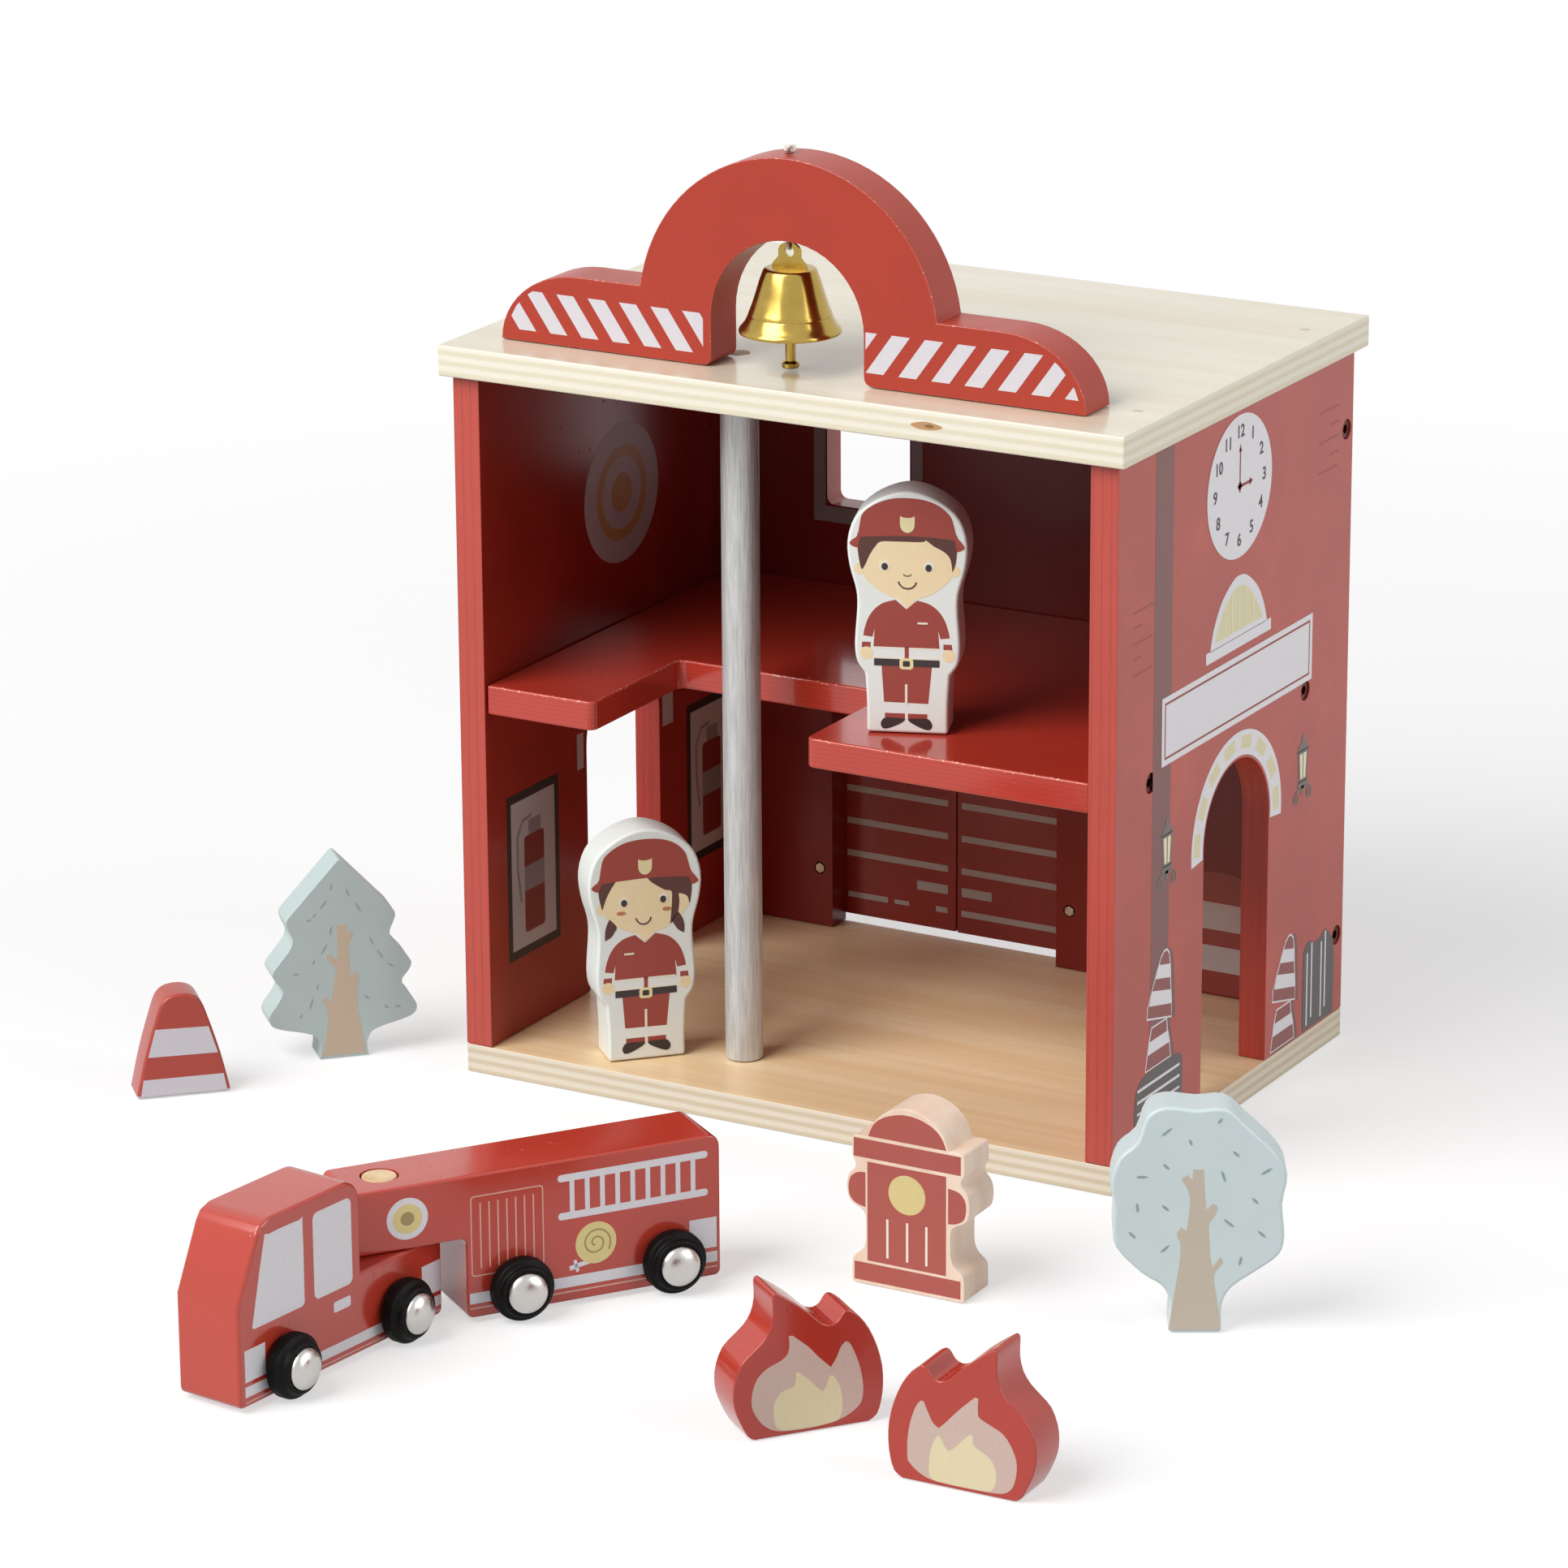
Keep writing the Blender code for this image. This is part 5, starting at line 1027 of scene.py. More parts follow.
def uniform(down, up):
    """Outlines shared by both dolls: red cloth, shoes and hands. down lowers the jacket and up
    raises the trousers, in mm."""
    half = [(-0.5, 43.0, 0), (-3.9, 46, 0), (-8, 44.8), (-11, 42.5), (-13, 39.5), (-14.2, 36),
            (-14.7, 33.4, 0), (-11.6, 33, 0), (-10.9, 35.8, 0), (-11.1, 32.5), (-11.3, 29.7, 0)]
    jacket = drawn(half + [(-p[0] - 0.6, *p[1:]) for p in reversed(half)], 4)
    trousers = [(-8.6, 23.3), (-7.8, 10.7 + up), (7, 10.5 + up), (8.2, 23.3)]
    cuffs = [[(-15.3, 29.3), (-12.3, 29.3), (-12.2, 31.2), (-15.1, 31.2)],
             [(12.0, 29.3), (15, 29.3), (14.8, 31.2), (12.0, 31.2)]]
    red = [moved(jacket, 0, -down), trousers, panel(-7.5, 4.8 + up, -0.8, 6.9 + up),
           panel(0.2, 4.8 + up, 6.7, 6.9 + up), *[moved(cuff, 0, -down) for cuff in cuffs],
           panel(-0.9, 25.2, 0.5, 30)]
    shoe = drawn([(-8.9, 3), (-8.4, 4.4), (-7.2, 5.3), (-3.6, 5.3), (-0.9, 5.1), (-1.5, 4), (-4, 2.6),
                  (-6.5, 1.6), (-8.2, 1.6)], 3)
    shoes = [moved(shoe, 0, up), [(-u - 0.6, v + up) for u, v in shoe]]
    hands = [oval(-13.6, 27.4 - down, 2.2), oval(13.8, 27.2 - down, 2.2)]
    return red, shoes, hands


def doll_print(body, place, down, up, face, ears, hair, cap, badge, pupils, eyes, lines, cheeks, strand):
    red, shoes, hands = uniform(down, up)
    piping = [panel(u0, v, u1, v + 0.6) for v in (25.7, 29.1) for u0, u1 in ((-11.4, -1.0), (0.6, 10.4))]
    white = [panel(-0.75, 10.3 + up, 0.05, 17 + up), *eyes, strand]
    layers = [(cloth_red, red), (cream_band, piping), (skin_tone, ears + hands), (skin_tone, [face]),
              (hair_brown, hair), (cloth_red, [cap]), (badge_yellow, [badge]),
              (belt_black, [panel(-11.1, 23.2, 10.7, 25.6)] + shoes),
              (badge_yellow, [panel(-2.6, 22.2, 2.0, 26.0, 1.0)]),
              (belt_black, [panel(-1.5, 23.1, 0.9, 25.1, 0.5)]), (cream_band, white), (cheek_brown, cheeks),
              (belt_black, [oval(u, v, 1.1, 1.25, steps=18) for u, v in pupils]), (hair_brown, lines)]
    return printed(f"{body}_print", body, place, layers)


def head_face(chin):
    """The outline of a face whose chin is lowered, in mm."""
    half = [(-15.6, 67), (-15.5, 60), (-15.3, 56.2), (-14.7, 54.0), (-13.4, 52.2), (-10, 49.3), (-6, 47.2),
            (-3, 46.3), (-1.8, 44.6), (-0.3, 43.3, 0)]
    ring = [(p[0], p[1] - chin, *p[2:]) for p in half]
    return drawn(ring + [(-p[0] - 0.2, *p[1:]) for p in reversed(ring[:-1])], 4)


boy_cap = drawn([(-16.6, 63.4, 0), (-18.0, 63.8), (-19.2, 64.8), (-18.4, 66), (-16.6, 67.6), (-15.8, 71.6),
                 (-14.9, 75), (-12, 77.6), (-8, 79.6), (-4, 80.6), (0.4, 80.8), (5, 80.4), (9, 79.2),
                 (12, 77.4), (14.4, 74.8), (15.4, 71.8), (16.4, 68.2), (18.2, 66), (19.0, 64.4),
                 (17.8, 63.4), (16.5, 63.0, 0), (15.6, 67.0, 0), (9, 67.6), (0, 67.9), (-9, 67.6),
                 (-15.6, 67.2, 0)], 4)
boy_hair = drawn([(-16.6, 68.4, 0), (-16.4, 62), (-15.6, 57.2), (-15.0, 56.0, 0), (-14.0, 57.6),
                  (-12.5, 61), (-10.7, 63.9), (-8.8, 65.7), (-4, 65.9), (4.6, 66.0), (6.2, 66.7, 0),
                  (8.8, 64.7), (12, 63), (14, 61), (14.7, 58.4), (14.9, 56.0, 0), (15.8, 58), (16.4, 62),
                  (16.6, 68.4, 0)], 4)
blank_badge = drawn([(-2.4, 74.7, 0), (-1.3, 74.2), (0, 74.1), (1.3, 74.2), (2.4, 74.7, 0), (2.4, 71.6),
                     (1.7, 69.8), (0, 69.0), (-1.7, 69.8), (-2.4, 71.6)], 4)
boy_mouth = brushed_line([(-3.0, 52.3), (-2.5, 51.2), (-1.4, 50.2), (0.1, 49.9), (1.5, 50.2), (2.5, 51.1),
                          (3.0, 52.2)], 0.5)
boy_nose = brushed_line([(-1.4, 54.9), (-0.7, 54.3), (0.6, 54.3), (1.3, 54.9)], 0.3)
doll_print("boy", face_frame(0.0375, -0.0687, 0.1411, 20.8), 0.0, 0.0, face=head_face(0),
           ears=[oval(-15.8, 56.3, 2.0), oval(15.6, 56.3, 2.0)], hair=[boy_hair], cap=boy_cap,
           badge=blank_badge, pupils=[(-7.5, 57.3), (7.1, 57.2)],
           eyes=[oval(-7.6, 57.6, 1.8, 1.75, steps=18), oval(7.3, 57.8, 1.8, 1.7, steps=18)],
           lines=[boy_mouth, boy_nose], cheeks=[], strand=panel(3.4, 37.9, 6.8, 38.5))
girl_cap = drawn([(-16.6, 61.9, 0), (-18.0, 62.4), (-19.0, 63.4), (-18.2, 64.4), (-16.4, 66.0),
                  (-15.6, 70.2), (-14.6, 73.8), (-11.8, 76.4), (-8, 78.4), (-4, 79.3), (0.4, 79.5),
                  (5, 79.1), (9, 77.9), (12, 76.0), (14.2, 73.4), (15.2, 70.4), (16.2, 66.8), (18.0, 64.4),
                  (18.8, 62.9), (17.6, 62.0), (16.4, 61.8, 0), (15.4, 64.6, 0), (9, 65.2), (0, 65.5),
                  (-9, 65.2), (-15.4, 64.8, 0)], 4)
girl_locks = [[(-16.7, 66.0, 0), (-16.4, 60), (-15.3, 55.2, 0), (-14.0, 59), (-12.4, 62.2), (-10.8, 64.6),
               (-10, 66.0, 0)],
              [(0.6, 66.0, 0), (1.6, 64.4), (4, 62.5), (7, 60.6), (9.2, 59.9), (9.3, 56), (8.9, 51),
               (8.6, 48.2, 0), (9.7, 49.2), (11.4, 52), (12.0, 56), (11.8, 58.6), (12.6, 58.8), (14.8, 57.6),
               (15.6, 55.0), (16.2, 58), (16.5, 61), (16.5, 66.0, 0)],
              [(-12.8, 51.9, 0), (-13.8, 49.8), (-14.4, 47.4), (-14.5, 44.2, 0), (-12.2, 45.4),
               (-11.0, 47.2), (-10.3, 49.0)],
              [(11.6, 52.4, 0), (13.0, 50), (13.7, 47.5), (13.6, 44.5, 0), (11.5, 45.8), (10.0, 48.0),
               (9.2, 50.0)]]
girl_mouth = brushed_line([(-3.5, 51.4), (-3.0, 50.3), (-2.0, 49.3), (-0.8, 49.0), (0.5, 49.3), (1.5, 50.3),
                           (1.9, 51.4)], 0.5)
doll_print("girl", face_frame(-0.0619, -0.073, 0.0103, 45.9), 0.6, 1.1, face=head_face(0.5),
           ears=[oval(-15.6, 55.6, 1.9), oval(13.9, 55.4, 1.9)], hair=[drawn(lock, 4) for lock in girl_locks],
           cap=girl_cap, badge=moved(blank_badge, 0, -2.2), pupils=[(-7.6, 57.2), (6.2, 57.4)],
           eyes=[oval(-7.7, 57.7, 1.7, 1.6, steps=18), oval(6.4, 58.0, 1.7, 1.6, steps=18)],
           lines=[girl_mouth],
           cheeks=[oval(-8.7, 53.6, 1.6, 0.7, steps=16), oval(7.5, 53.8, 1.6, 0.7, steps=16)],
           strand=panel(-7.8, 38.4, -4.3, 39.0))


# Trees. A pine and a round tree sawn from 14 and 15 mm board, sprayed pale grey green and pale
# blue grey, with a bare trunk and small leaf dashes printed on the front.

def dash(u0, v0, u1, v1, width=0.9):
    """A short brushed dash that swells in the middle."""
    du, dv = u1 - u0, v1 - v0
    size = math.hypot(du, dv)
    nu, nv = -dv / size * width / 2, du / size * width / 2
    right, left = [[(u0 + share * du + side * nu, v0 + share * dv + side * nv) for share in (0.3, 0.7)]
                   for side in (-1, 1)]
    return [(u0, v0), *right, (u1, v1), *reversed(left)]


sanded("pine_board", "pine_tree", "pine", "pine_paint", BOARD_EASE,
       [satin_paint("satin grey green paint", "BACAC8")])
trunk_tan = printing_ink("trunk tan screen ink", "CBB8A0")
pine_grey = printing_ink("garland grey screen ink", "98A8A8")
pine_trunk = drawn([(-8.0, 1.0, 0), (7.6, 1.0, 0), (6.8, 6), (6.2, 11), (5.3, 17), (5.0, 22), (5.2, 26),
                    (5.9, 29), (5.0, 31.3, 0), (3.8, 31.0, 0), (3.1, 29.2, 0), (2.7, 34), (2.3, 40),
                    (3.2, 43), (4.4, 45.6, 0), (3.2, 46.8, 0), (2.0, 45.4, 0), (1.8, 48.8, 0),
                    (-1.6, 48.8, 0), (-1.6, 44), (-1.5, 38, 0), (-2.2, 36.2), (-3.8, 38.5, 0),
                    (-5.4, 38.0, 0), (-5.2, 36.4), (-4, 34.8), (-2.3, 33), (-3, 28), (-4, 22, 0),
                    (-4.5, 20.8), (-5.8, 22.8, 0), (-7.2, 22.2, 0), (-7.1, 20.6), (-5.9, 18.5),
                    (-5.6, 14), (-6.2, 9), (-7.3, 4)], 3)
pine_dashes = [(-12.2, 51, -10.4, 51.8), (-10, 52.3, -8.8, 53.8), (-7.5, 55, -4.5, 58.5),
               (-3.4, 61.6, -2.9, 64.2), (2.0, 61.8, 3.3, 58.8), (5, 57, 7.3, 52.5), (-17.8, 32, -15, 32.2),
               (-10.6, 34.8, -9.5, 37), (-7.6, 38.2, -4.9, 42.4), (-4, 45, -3.4, 48.8), (9.8, 43.4, 11.5, 40),
               (12.3, 38.7, 14.8, 34.8), (16, 33.2, 18.4, 31.6), (-15.5, 15.6, -14.6, 17.5),
               (-12, 18.5, -10.5, 23), (-9.1, 25.2, -8.6, 28.2), (7.4, 22.2, 9.6, 20.4),
               (14.6, 17.8, 16.2, 16.4), (18.2, 17.1, 20.8, 16.5)]
printed("pine_print", "pine", face_frame(-0.170, -0.0982, 0, 45.4),
        [(pine_grey, [dash(*ends, 0.7) for ends in pine_dashes]), (trunk_tan, [pine_trunk])])

sanded("round_tree_board", "round_tree", "round_tree", "tree_paint", BOARD_EASE,
       [satin_paint("satin pale blue grey paint", "CFDDDE")])
trunk_beige = printing_ink("trunk beige screen ink", "C6B9A8")
leaf_grey = printing_ink("leaf grey screen ink", "93A3A3")
tree_trunk = drawn([(-8.5, 1.0, 0), (7.9, 1.0, 0), (7.2, 6), (6.2, 13), (5.4, 18), (5.9, 20.4), (7.5, 22.6),
                    (8.3, 24.0, 0), (7.5, 25.4, 0), (6.0, 23.6), (5.0, 21.9, 0), (4.2, 25.5), (3.9, 31),
                    (3.6, 36), (5.0, 38.6), (6.2, 41.0, 0), (6.0, 42.6), (4.5, 43.1, 0), (3.5, 41.9),
                    (2.8, 41.3, 0), (2.4, 45), (1.8, 54.6, 0), (-1.5, 54.6, 0), (-1.6, 51.3, 0),
                    (-2.3, 51.6), (-3.0, 52.8, 0), (-4.8, 51.8, 0), (-4.7, 50.6), (-3.5, 48.8),
                    (-2.4, 45.5), (-2.5, 41), (-3.2, 34.2, 0), (-4, 34.6), (-4.8, 35.4, 0), (-6.3, 33.6, 0),
                    (-6.0, 32), (-5.2, 30), (-5.1, 26), (-5.8, 20), (-7, 12), (-8, 5)], 3)
tree_dashes = [(-11.5, 65.4, -8, 68.4), (5.9, 69.6, 7.5, 71.6), (-2.8, 64.6, -1.9, 62.4),
               (10.7, 60.7, 12.9, 58.7), (-10.9, 56.5, -8.7, 54.4), (-19.4, 52, -15.2, 52.1),
               (7.3, 54.4, 8.7, 50.1), (19.4, 52.7, 23.2, 55.1), (16.9, 45.2, 19, 43),
               (-18.8, 43.6, -18.4, 40), (-11.1, 42.8, -8.7, 40.7), (8, 38.2, 11.7, 35.2),
               (18.8, 34.2, 21.5, 31.8), (-21.4, 33.9, -18.8, 31.5), (-11.4, 26.7, -8.4, 29.5),
               (13.2, 22.3, 14, 25.8)]
printed("round_tree_print", "round_tree", face_frame(0.2007, -0.1806, 0, 28.7),
        [(leaf_grey, [dash(*ends) for ends in tree_dashes]), (trunk_beige, [tree_trunk])])


# Cone. A road cone sawn from 14 mm board, sprayed red, with its foot and its middle band white.

board_grain = (2.6, 2.6, 40)
cone_red = enamel("red enamel on the cone", "B24335", 0.3, None, board_grain)
cone_white = satin_paint("satin white foot of the cone", "D9D8D8")
sanded("cone_board", "traffic_cone", "cone", "cone_paint", BOARD_EASE, [cone_red, cone_white],
       lambda n, c: 1 if c.z < 0.0015 else 0)
printed("cone_print", "cone", face_frame(-0.1972, -0.1571, 0, 44.5),
        [(stripe_white, [[(-15.0, 1.0), (15.0, 1.0), (13.9, 6.9), (-13.9, 6.9)],
                         [(-12.0, 15.0), (12.2, 14.7), (9.2, 24.5), (-9.2, 24.9)]])])


# Hydrant. Sawn from 16 mm beech, left bare and lacquered, with its parts printed dark red on the
# front so that a thin line of wood shows between them.

sanded("hydrant_board", "hydrant", "hydrant", "hydrant_wood", 0.0009,
       [veneer("lacquered solid beech", "F3DCC8", "EACDB6", "D8B496", "Z", 0.42)])
print_red = printing_ink("brick red screen ink", "AE554A")
pale_yellow = printing_ink("pale yellow screen ink", "DDCB8C")
dome = drawn([(-14.3, 50.5, 0), (-12.5, 54.5), (-9.5, 57.2), (-5, 59.1), (-0.3, 59.8), (4.6, 59.1),
              (9.2, 57.1), (12.1, 54.2), (13.7, 50.5, 0)])
left_cap = drawn([(-15.3, 38.0, 0), (-18, 37.7), (-20.5, 35.8), (-21.4, 32.5), (-20.9, 29.3), (-18.9, 27.2),
                  (-15.3, 26.2, 0)])
right_cap = drawn([(14.3, 26.0, 0), (17, 26.4), (19.8, 28.2), (20.7, 31.4), (20.3, 34.8), (18.2, 37.2),
                   (14.3, 38.0, 0)])
hydrant_parts = [dome, panel(-19.5, 43.0, 18.8, 49.3), panel(-14.6, 8.2, 13.6, 41.8),
                 panel(-19.3, 1.2, 18.8, 7.3), left_cap, right_cap]
printed("hydrant_print", "hydrant", face_frame(0.1061, -0.1946, 0, 0.3),
        [(print_red, hydrant_parts), (pale_yellow, [oval(-0.4, 32.9, 6.6, steps=48)]),
         (cream_band, [panel(u - 0.4, 10.2, u + 0.4, 23.5) for u in (-7.4, -0.3, 6.6)])])


# Flames. Two flames sawn from 16 mm board and sprayed with glossy red enamel, with a mauve and a
# pale yellow flame printed one inside the other.

flame_red = enamel("glossy red enamel on the flames", "B4382B", 0.17, None, board_grain, coat=0.1)
flame_mauve = printing_ink("mauve screen ink", "CBB1A6")
flame_yellow = printing_ink("warm pale yellow screen ink", "E0D3AC")
outer_left = [(-18.5, 11), (-18.2, 16), (-16.5, 20), (-13.5, 22.6), (-9, 24.5), (-7.0, 26.2), (-6.3, 28.5),
              (-6.4, 32, 0), (-5.2, 32, 0), (0, 27.5), (3, 24), (7.2, 19.8, 0), (9, 22.5), (10.5, 25.8),
              (12, 27.4, 0), (13.5, 26.4), (15.5, 22), (17, 17), (17.7, 12), (17.4, 8), (16.3, 5.8),
              (13, 3.5), (9, 2.1), (3, 1.3), (-3, 1.2), (-10, 1.8), (-14, 3.8), (-16.6, 6.8)]
inner_left = [(-11.5, 9), (-11, 11.5), (-9.5, 13.8), (-7.5, 14.8), (-5.3, 15.3), (-4.3, 17),
              (-4.1, 19.9, 0), (-3, 19.6), (0, 17), (2.5, 14.2), (4.5, 12.3, 0), (5.8, 14), (6.5, 16.4),
              (7.5, 17.3, 0), (9, 15.4), (10.5, 12), (10.9, 7), (10.5, 4), (9.3, 2.2), (5, 1.5), (0, 1.4),
              (-5, 1.5), (-9, 2.0), (-11, 4.0)]
outer_right = [(-17.8, 7), (-17.8, 13), (-16.8, 19), (-15, 24), (-13.4, 26.2, 0), (-12.4, 26, 0),
               (-11.3, 23.5), (-9.5, 20), (-7.5, 18.5, 0), (-5, 21), (-1, 25.4), (2.5, 28.8), (4.4, 30.6, 0),
               (5.5, 30.4, 0), (5.4, 26.4), (5.9, 24.4), (9, 22.9), (13.5, 20.8), (16.5, 17), (18.2, 12),
               (17.5, 6), (15.5, 2.8), (12, 1.5), (5, 1.2), (-5, 1.2), (-11, 1.8), (-15, 3.7), (-17.2, 5.7)]
inner_right = [(-10.7, 4), (-10.5, 9), (-9.8, 12), (-8.7, 14.8), (-7.6, 16.2, 0), (-6.5, 15), (-5.5, 13),
               (-4.2, 11.8, 0), (-2, 13.5), (1, 16.8), (3, 18.6, 0), (3.8, 18.3, 0), (4.0, 15.4), (6, 14),
               (9, 12.4), (11, 9.5), (11.5, 6), (10.8, 3.2), (9.3, 1.7), (5, 1.3), (0, 1.3), (-6, 1.3),
               (-9, 1.6), (-10.3, 2.6)]
for side, place, outer, inner in (("left", face_frame(0.1327, -0.3061, 0, 51.8), outer_left, inner_left),
                                  ("right", face_frame(0.1935, -0.3227, 0, 1.3), outer_right, inner_right)):
    flame = f"flame_{side}"
    sanded(f"{flame}_board", flame, flame, "flame_paint", 0.0013, [flame_red])
    printed(f"{flame}_print", flame, place,
            [(flame_mauve, [drawn(outer, 4)]), (flame_yellow, [drawn(inner, 4)])])


# Truck bodies. Two blocks of beech 25 mm wide, joined by a bare wooden peg that the rear half
# turns on, sprayed glossy red. Windows, ladder, louvre, hose and stripes are printed on the sides.

truck_red = enamel("glossy red enamel on the truck", "BA3D2D", 0.16, None, (60, 60, 3.0), coat=0.3)
for half in ("tractor", "trailer"):
    sanded(f"{half}_block", f"{half}_body", half, "truck_red", 0.0004, [truck_red])
sanded("coupling_peg", "truck_peg", "tractor", "peg_wood", 0.0005,
       [veneer("bare beech dowel", "E3C9A2", "CFAE82", "B08C5E", "Z", 0.55)])
glass_lilac = printing_ink("lilac grey screen ink", "DCDBE0")
spoke_olive = printing_ink("olive screen ink", "A08F5C")
line_cream = printing_ink("fine pink line screen ink", "D9A79D")
side_red = printing_ink("red of the louvre field, as the enamel", "B8402F", 0.2)
TRUCK_X, TRUCK_Y, HALF_WIDE = -0.0265, -0.2959, 0.0125
heading = {"tractor": 82.9, "trailer": 54.3}


def truck_side(turn_deg, mirror):
    """The near side face for mirror 1 and the far side face for mirror -1, measured from the peg."""
    t = math.radians(turn_deg)
    out = Vector((math.sin(t), -math.cos(t), 0)) * mirror
    corner = Vector((TRUCK_X, TRUCK_Y, 0)) + out * HALF_WIDE
    return face_frame(corner.x, corner.y, 0, turn_deg + (0 if mirror > 0 else 180))


cab_window = drawn([(-75.6, 26.6, 0), (-74.6, 26.0, 0), (-52.2, 26.0, 0), (-51.2, 27.0, 0), (-51.2, 53.0),
                    (-52.6, 54.4), (-66.8, 54.4), (-69.2, 52.6)], 3)
tractor_layers = [(glass_lilac, [cab_window, panel(-46.5, 26.0, -28.5, 54.4, 2.2),
                                 panel(-37.7, 18.8, -29.7, 22.3, 0.8), panel(-79.5, 9.8, -70, 20.2),
                                 panel(4.6, 9.8, 13.6, 20.2), panel(-79.6, 4.9, 13.6, 8.3)]),
                  (line_cream, [panel(-79.6, 3.0, 13.6, 3.5)])]
REEL_U, REEL_V, MOTIF_U, MOTIF_V = 67.7, 20.0, 4.2, 38.8
coils = [(5.2 - 4.4 * k / 44, -0.6 + 3.6 * math.pi * k / 44) for k in range(45)]
hose_coil = brushed_line([(REEL_U + r * math.cos(a), REEL_V + r * math.sin(a)) for r, a in coils], 0.6)
nozzle = [brushed_line([(58.6, 12.6), (61.0, 13.2), (65.6, 14.0)], 1.5),
          brushed_line([(60.4, 15.2), (61.4, 11.2)], 1.1)]
ladder_rails = [panel(55, v, 106.5, v + 2.4, 1.1) for v in (29.4, 42.2)]
trailer_layers = [(glass_lilac, [panel(100, 11.4, 109.4, 21.7), panel(24.6, 6.4, 109.6, 10.0), *ladder_rails,
                                 *nozzle, oval(MOTIF_U, MOTIF_V, 6.9, steps=36)]),
                  (line_cream, [panel(24.6, 4.6, 109.6, 5.1), panel(25.3, 15.5, 50, 42.5, 1.2)]),
                  (side_red, [panel(25.7, 15.9, 49.6, 42.1, 0.9)]),
                  (pale_yellow, [oval(REEL_U, REEL_V, 7.0, steps=40), oval(MOTIF_U, MOTIF_V, 4.9, steps=32)]),
                  (spoke_olive, [hose_coil, oval(MOTIF_U, MOTIF_V, 2.3, steps=24)])]
for mirror, word in ((1, "near"), (-1, "far")):
    front, rear = [truck_side(heading[half], mirror) for half in ("tractor", "trailer")]
    printed(f"tractor_print_{word}", "tractor", front, flipped(tractor_layers, mirror))
    printed(f"trailer_print_{word}", "trailer", rear, flipped(trailer_layers, mirror))
    row_print(f"trailer_ladder_rungs_{word}", "trailer", rear,
              [(9, (mirror * 59.8, 37.0), (mirror * 5.2, 0), (1.6, 11.4), 0)], glass_lilac)
    row_print(f"trailer_louvre_lines_{word}", "trailer", rear,
              [(7, (mirror * 28.6, 29.0), (mirror * 3.0, 0), (0.45, 22.0), 0)], line_cream, out=0.095)


# Wheels. Black rubber tyres with a stepped side on pressed, chromed dome hubs, driven onto steel
# axles that turn in bores across the blocks. The tyres' tread has fine cross ribs.

def rubber(name):
    material, tree = finish_named(name, Roughness=0.45, IOR=1.52, Specular_IOR_Level=0.1)
    pimples = embossed(tree, fibres(tree, 0.6, 2.0), 0.3, 0.00006)
    return set_shader(material, Base_Color=tinted(tree, fibres(tree, 3), "070606", "110F0E"), Normal=pimples)


def rib_tree():
    """Low ribs round a tyre's tread: count, radius and rib size."""
    tree, given = growth("ribs round a tread", ("Count", "Int"), ("Radius", "Float"), ("Rib", "Vector"))
    ring = add(tree, "GeometryNodeMeshCircle", {"Vertices": given["Count"], "Radius": given["Radius"]})
    rib = add(tree, "GeometryNodeMeshCube", {"Size": given["Rib"]})
    return full_grown(tree, given, outward_copies(tree, ring.outputs[0], rib.outputs["Mesh"]))


tyre_rubber = rubber("black moulded rubber")
dome_chrome = bare_metal("pressed satin chromed steel", "C8C6C2", 0.27, 0.6, 0.05)
axle_steel = bare_metal("bright steel axle", "BDBBB7", 0.3)
tread_ribs = rib_tree()
WHEEL_R, TYRE_WIDE, SIDE_GAP = 0.0104, 0.0072, 0.0010
HUB_R, DOME = 0.0067, 0.0030
RIB, RIB_SUNK, TREAD_MIDDLE = (0.0002, 0.00035, 0.0030), 0.00011, 0.0024
tyre_profile = [(0.00410, 0), (0.0092, 0), (0.0098, 0.00012), (0.01018, 0.00045), (0.01032, 0.0009),
                (0.01032, 0.0039), (0.01018, 0.00435), (0.0098, 0.00468), (0.0092, 0.0048),
                (0.00885, 0.00495), (0.0086, 0.0053), (0.0084, 0.0056), (0.0084, 0.0065),
                (0.00825, 0.0069), (0.0079, 0.00712), (0.0075, TYRE_WIDE), (0.0070, 0.00712),
                (0.0068, 0.0069), (0.0068, 0.0063), (0.0041, 0.0063)]
hub_profile = [(0, 0.0051), (0.0014, 0.0051), (0.0014, 0.0003), (0.0040, 0.0003), (0.0040, 0.0066),
               (0.0066, 0.0066), (HUB_R, 0.00668), (HUB_R, 0.0071)]
hub_profile += [(HUB_R * math.cos(a) ** 0.9, TYRE_WIDE + DOME * math.sin(a))
                for a in [math.pi / 2 * k / 12 for k in range(12)]]
hub_profile += [(0, TYRE_WIDE + DOME)]
axle_reach = {"tractor": {"front": -0.0612, "rear": -0.0068}, "trailer": {"front": 0.0409, "rear": 0.0932}}
up = Vector((0, 0, 1))
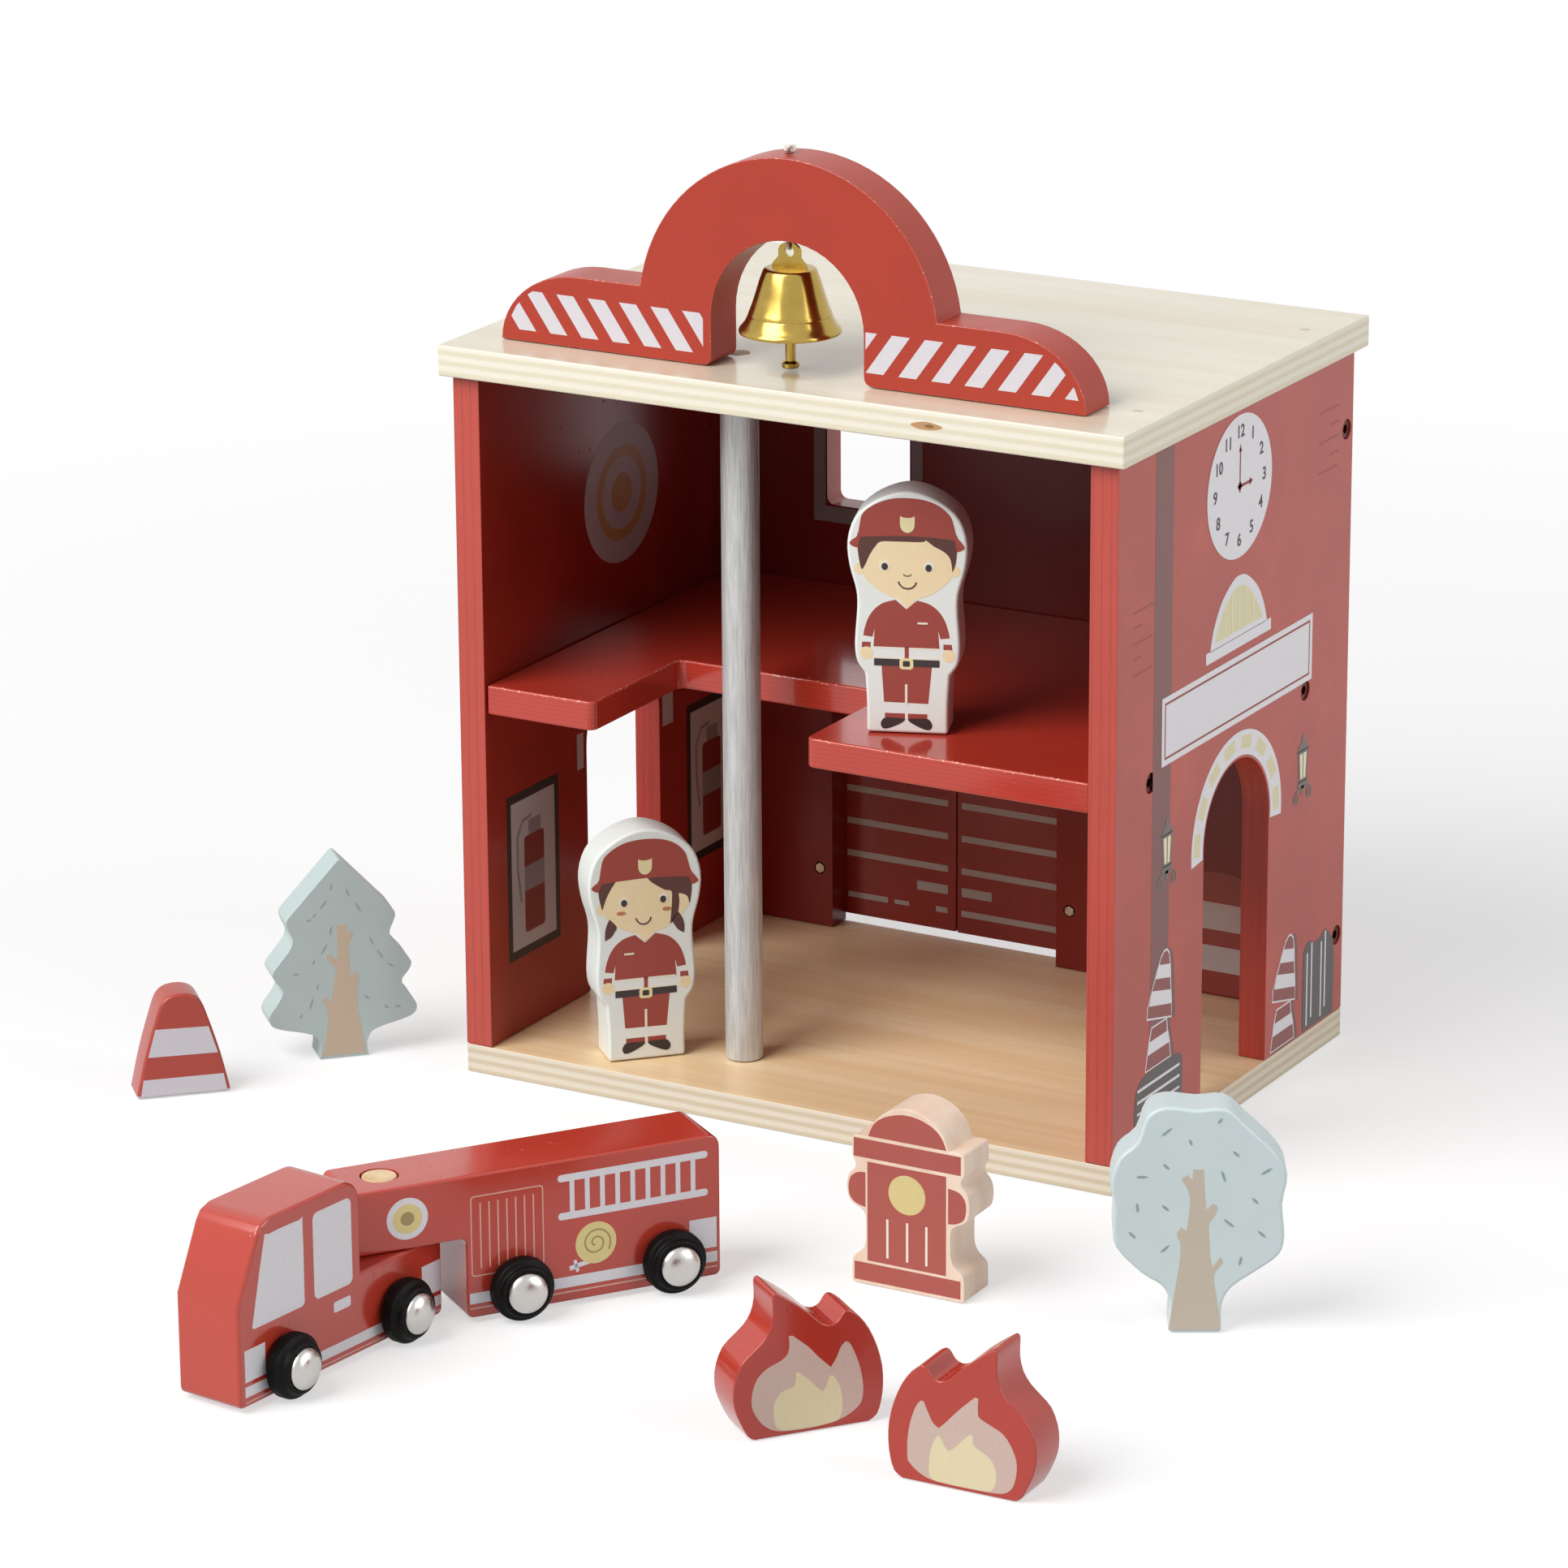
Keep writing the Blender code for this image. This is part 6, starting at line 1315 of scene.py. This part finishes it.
for half, reaches in axle_reach.items():
    t = math.radians(heading[half])
    ahead, left = Vector((math.cos(t), math.sin(t), 0)), Vector((-math.sin(t), math.cos(t), 0))
    across = Matrix([ahead, up, ahead.cross(up)]).transposed().to_4x4()
    for word, reach in reaches.items():
        name = f"{half}_{word}"
        body = f"{name}_wheels"
        hub_middle = Vector((TRUCK_X, TRUCK_Y, WHEEL_R)) + ahead * reach
        sanded(f"{name}_axle_steel", f"{name}_axle", body, "axle_steel", 0, [axle_steel])
        for side, away in (("right", -left), ("left", left)):
            start = hub_middle + away * (HALF_WIDE + SIDE_GAP)
            tyre = smoothed(f"{name}_{side}_tyre", turned(tyre_profile, start, away, 64), [tyre_rubber], 40)
            dressed(tyre, body, "tyre_rubber", f"{name}_tyre_{side}")
            hub = smoothed(f"{name}_{side}_hub", turned(hub_profile, start, away, 64), [dome_chrome], 50)
            dressed(hub, body, "hub_chrome", f"{name}_hub_{side}")
            ribs = grown(tread_ribs, Count=60, Radius=WHEEL_R - RIB_SUNK, Rib=RIB, Finish=tyre_rubber)
            ribs.transform(Matrix.Translation(start + away * TREAD_MIDDLE) @ across)
            dressed(placed(f"{name}_{side}_tread", ribs), body, "tyre_rubber")


# Studio. A white table and backdrop, a soft even surround, one large soft box from the upper left
# and a reflector on the right, with the camera where the photograph was taken.

view_point = bpy.data.cameras.new("camera")
view_point.lens, view_point.sensor_width = 151.298, 36.0
view_point.clip_start, view_point.clip_end = 0.05, 50.0
camera = placed("camera", view_point)
camera.location = (1.03272, -1.90185, 0.79224)
camera.rotation_euler = (1.2606, 0.0057, 0.5152)
bpy.context.scene.camera = camera


def seen_share(tree):
    """1 where a ray comes from the camera, straight or by way of a mirror or glass, and 0 elsewhere."""
    rays = add(tree, "ShaderNodeLightPath").outputs
    straight = maths(tree, "MAXIMUM", rays["Is Camera Ray"], rays["Is Glossy Ray"])
    return maths(tree, "MAXIMUM", straight, rays["Is Transmission Ray"])


def emptied(owner):
    """The node tree of a material or a world, without its nodes."""
    owner.use_nodes = True
    owner.node_tree.nodes.clear()
    return owner.node_tree


def mixed_shader(tree, share, first, second):
    return add(tree, "ShaderNodeMixShader", {0: share, 1: first.outputs[0], 2: second.outputs[0]})


WHITE = (1, 1, 1, 1)
table = bpy.data.meshes.new("table")
table.from_pydata([(x, y, -0.0003) for x, y in ((-4, -4), (4, -4), (4, 4), (-4, 4))], [], [(0, 1, 2, 3)])
placed("table", table)
paper = bpy.data.materials.new("white paper sweep")
tree = emptied(paper)
lit = add(tree, "ShaderNodeBsdfDiffuse", {"Color": (0.60, 0.60, 0.60, 1)})
shade = add(tree, "ShaderNodeBsdfDiffuse", {"Color": WHITE})
white = add(tree, "ShaderNodeEmission", {"Color": WHITE, "Strength": 1.0})
where = add(tree, "ShaderNodeTexCoord").outputs["Object"]
away = add(tree, "ShaderNodeVectorMath", {0: where}, operation="LENGTH").outputs["Value"]
shown = mixed_shader(tree, spread(tree, away, 0.35, 0.95, 0.55, 1.0), shade, white)
sweep = mixed_shader(tree, seen_share(tree), lit, shown)
add(tree, "ShaderNodeOutputMaterial", {0: sweep.outputs[0]})
table.materials.append(paper)

surroundings = bpy.data.worlds.new("studio")
tree = emptied(surroundings)
fill = add(tree, "ShaderNodeBackground", {"Color": WHITE, "Strength": 0.17})
backdrop = add(tree, "ShaderNodeBackground", {"Color": WHITE, "Strength": 1.0})
surround_light = mixed_shader(tree, seen_share(tree), fill, backdrop)
add(tree, "ShaderNodeOutputWorld", {0: surround_light.outputs[0]})
bpy.context.scene.world = surroundings

for name, where, size, watts in (("soft box", (-0.90, -1.95, 2.10), 2.0, 98.0),
                                 ("reflector", (2.5, 0.35, 1.15), 1.8, 33.0)):
    lamp = bpy.data.lights.new(name, "AREA")
    lamp.shape, lamp.size, lamp.energy = "SQUARE", size, watts
    light = placed(name, lamp)
    light.location = where
    light.rotation_euler = (Vector((0, 0, 0.12)) - light.location).to_track_quat("-Z", "Y").to_euler()
bpy.context.scene.view_settings.view_transform = "Standard"
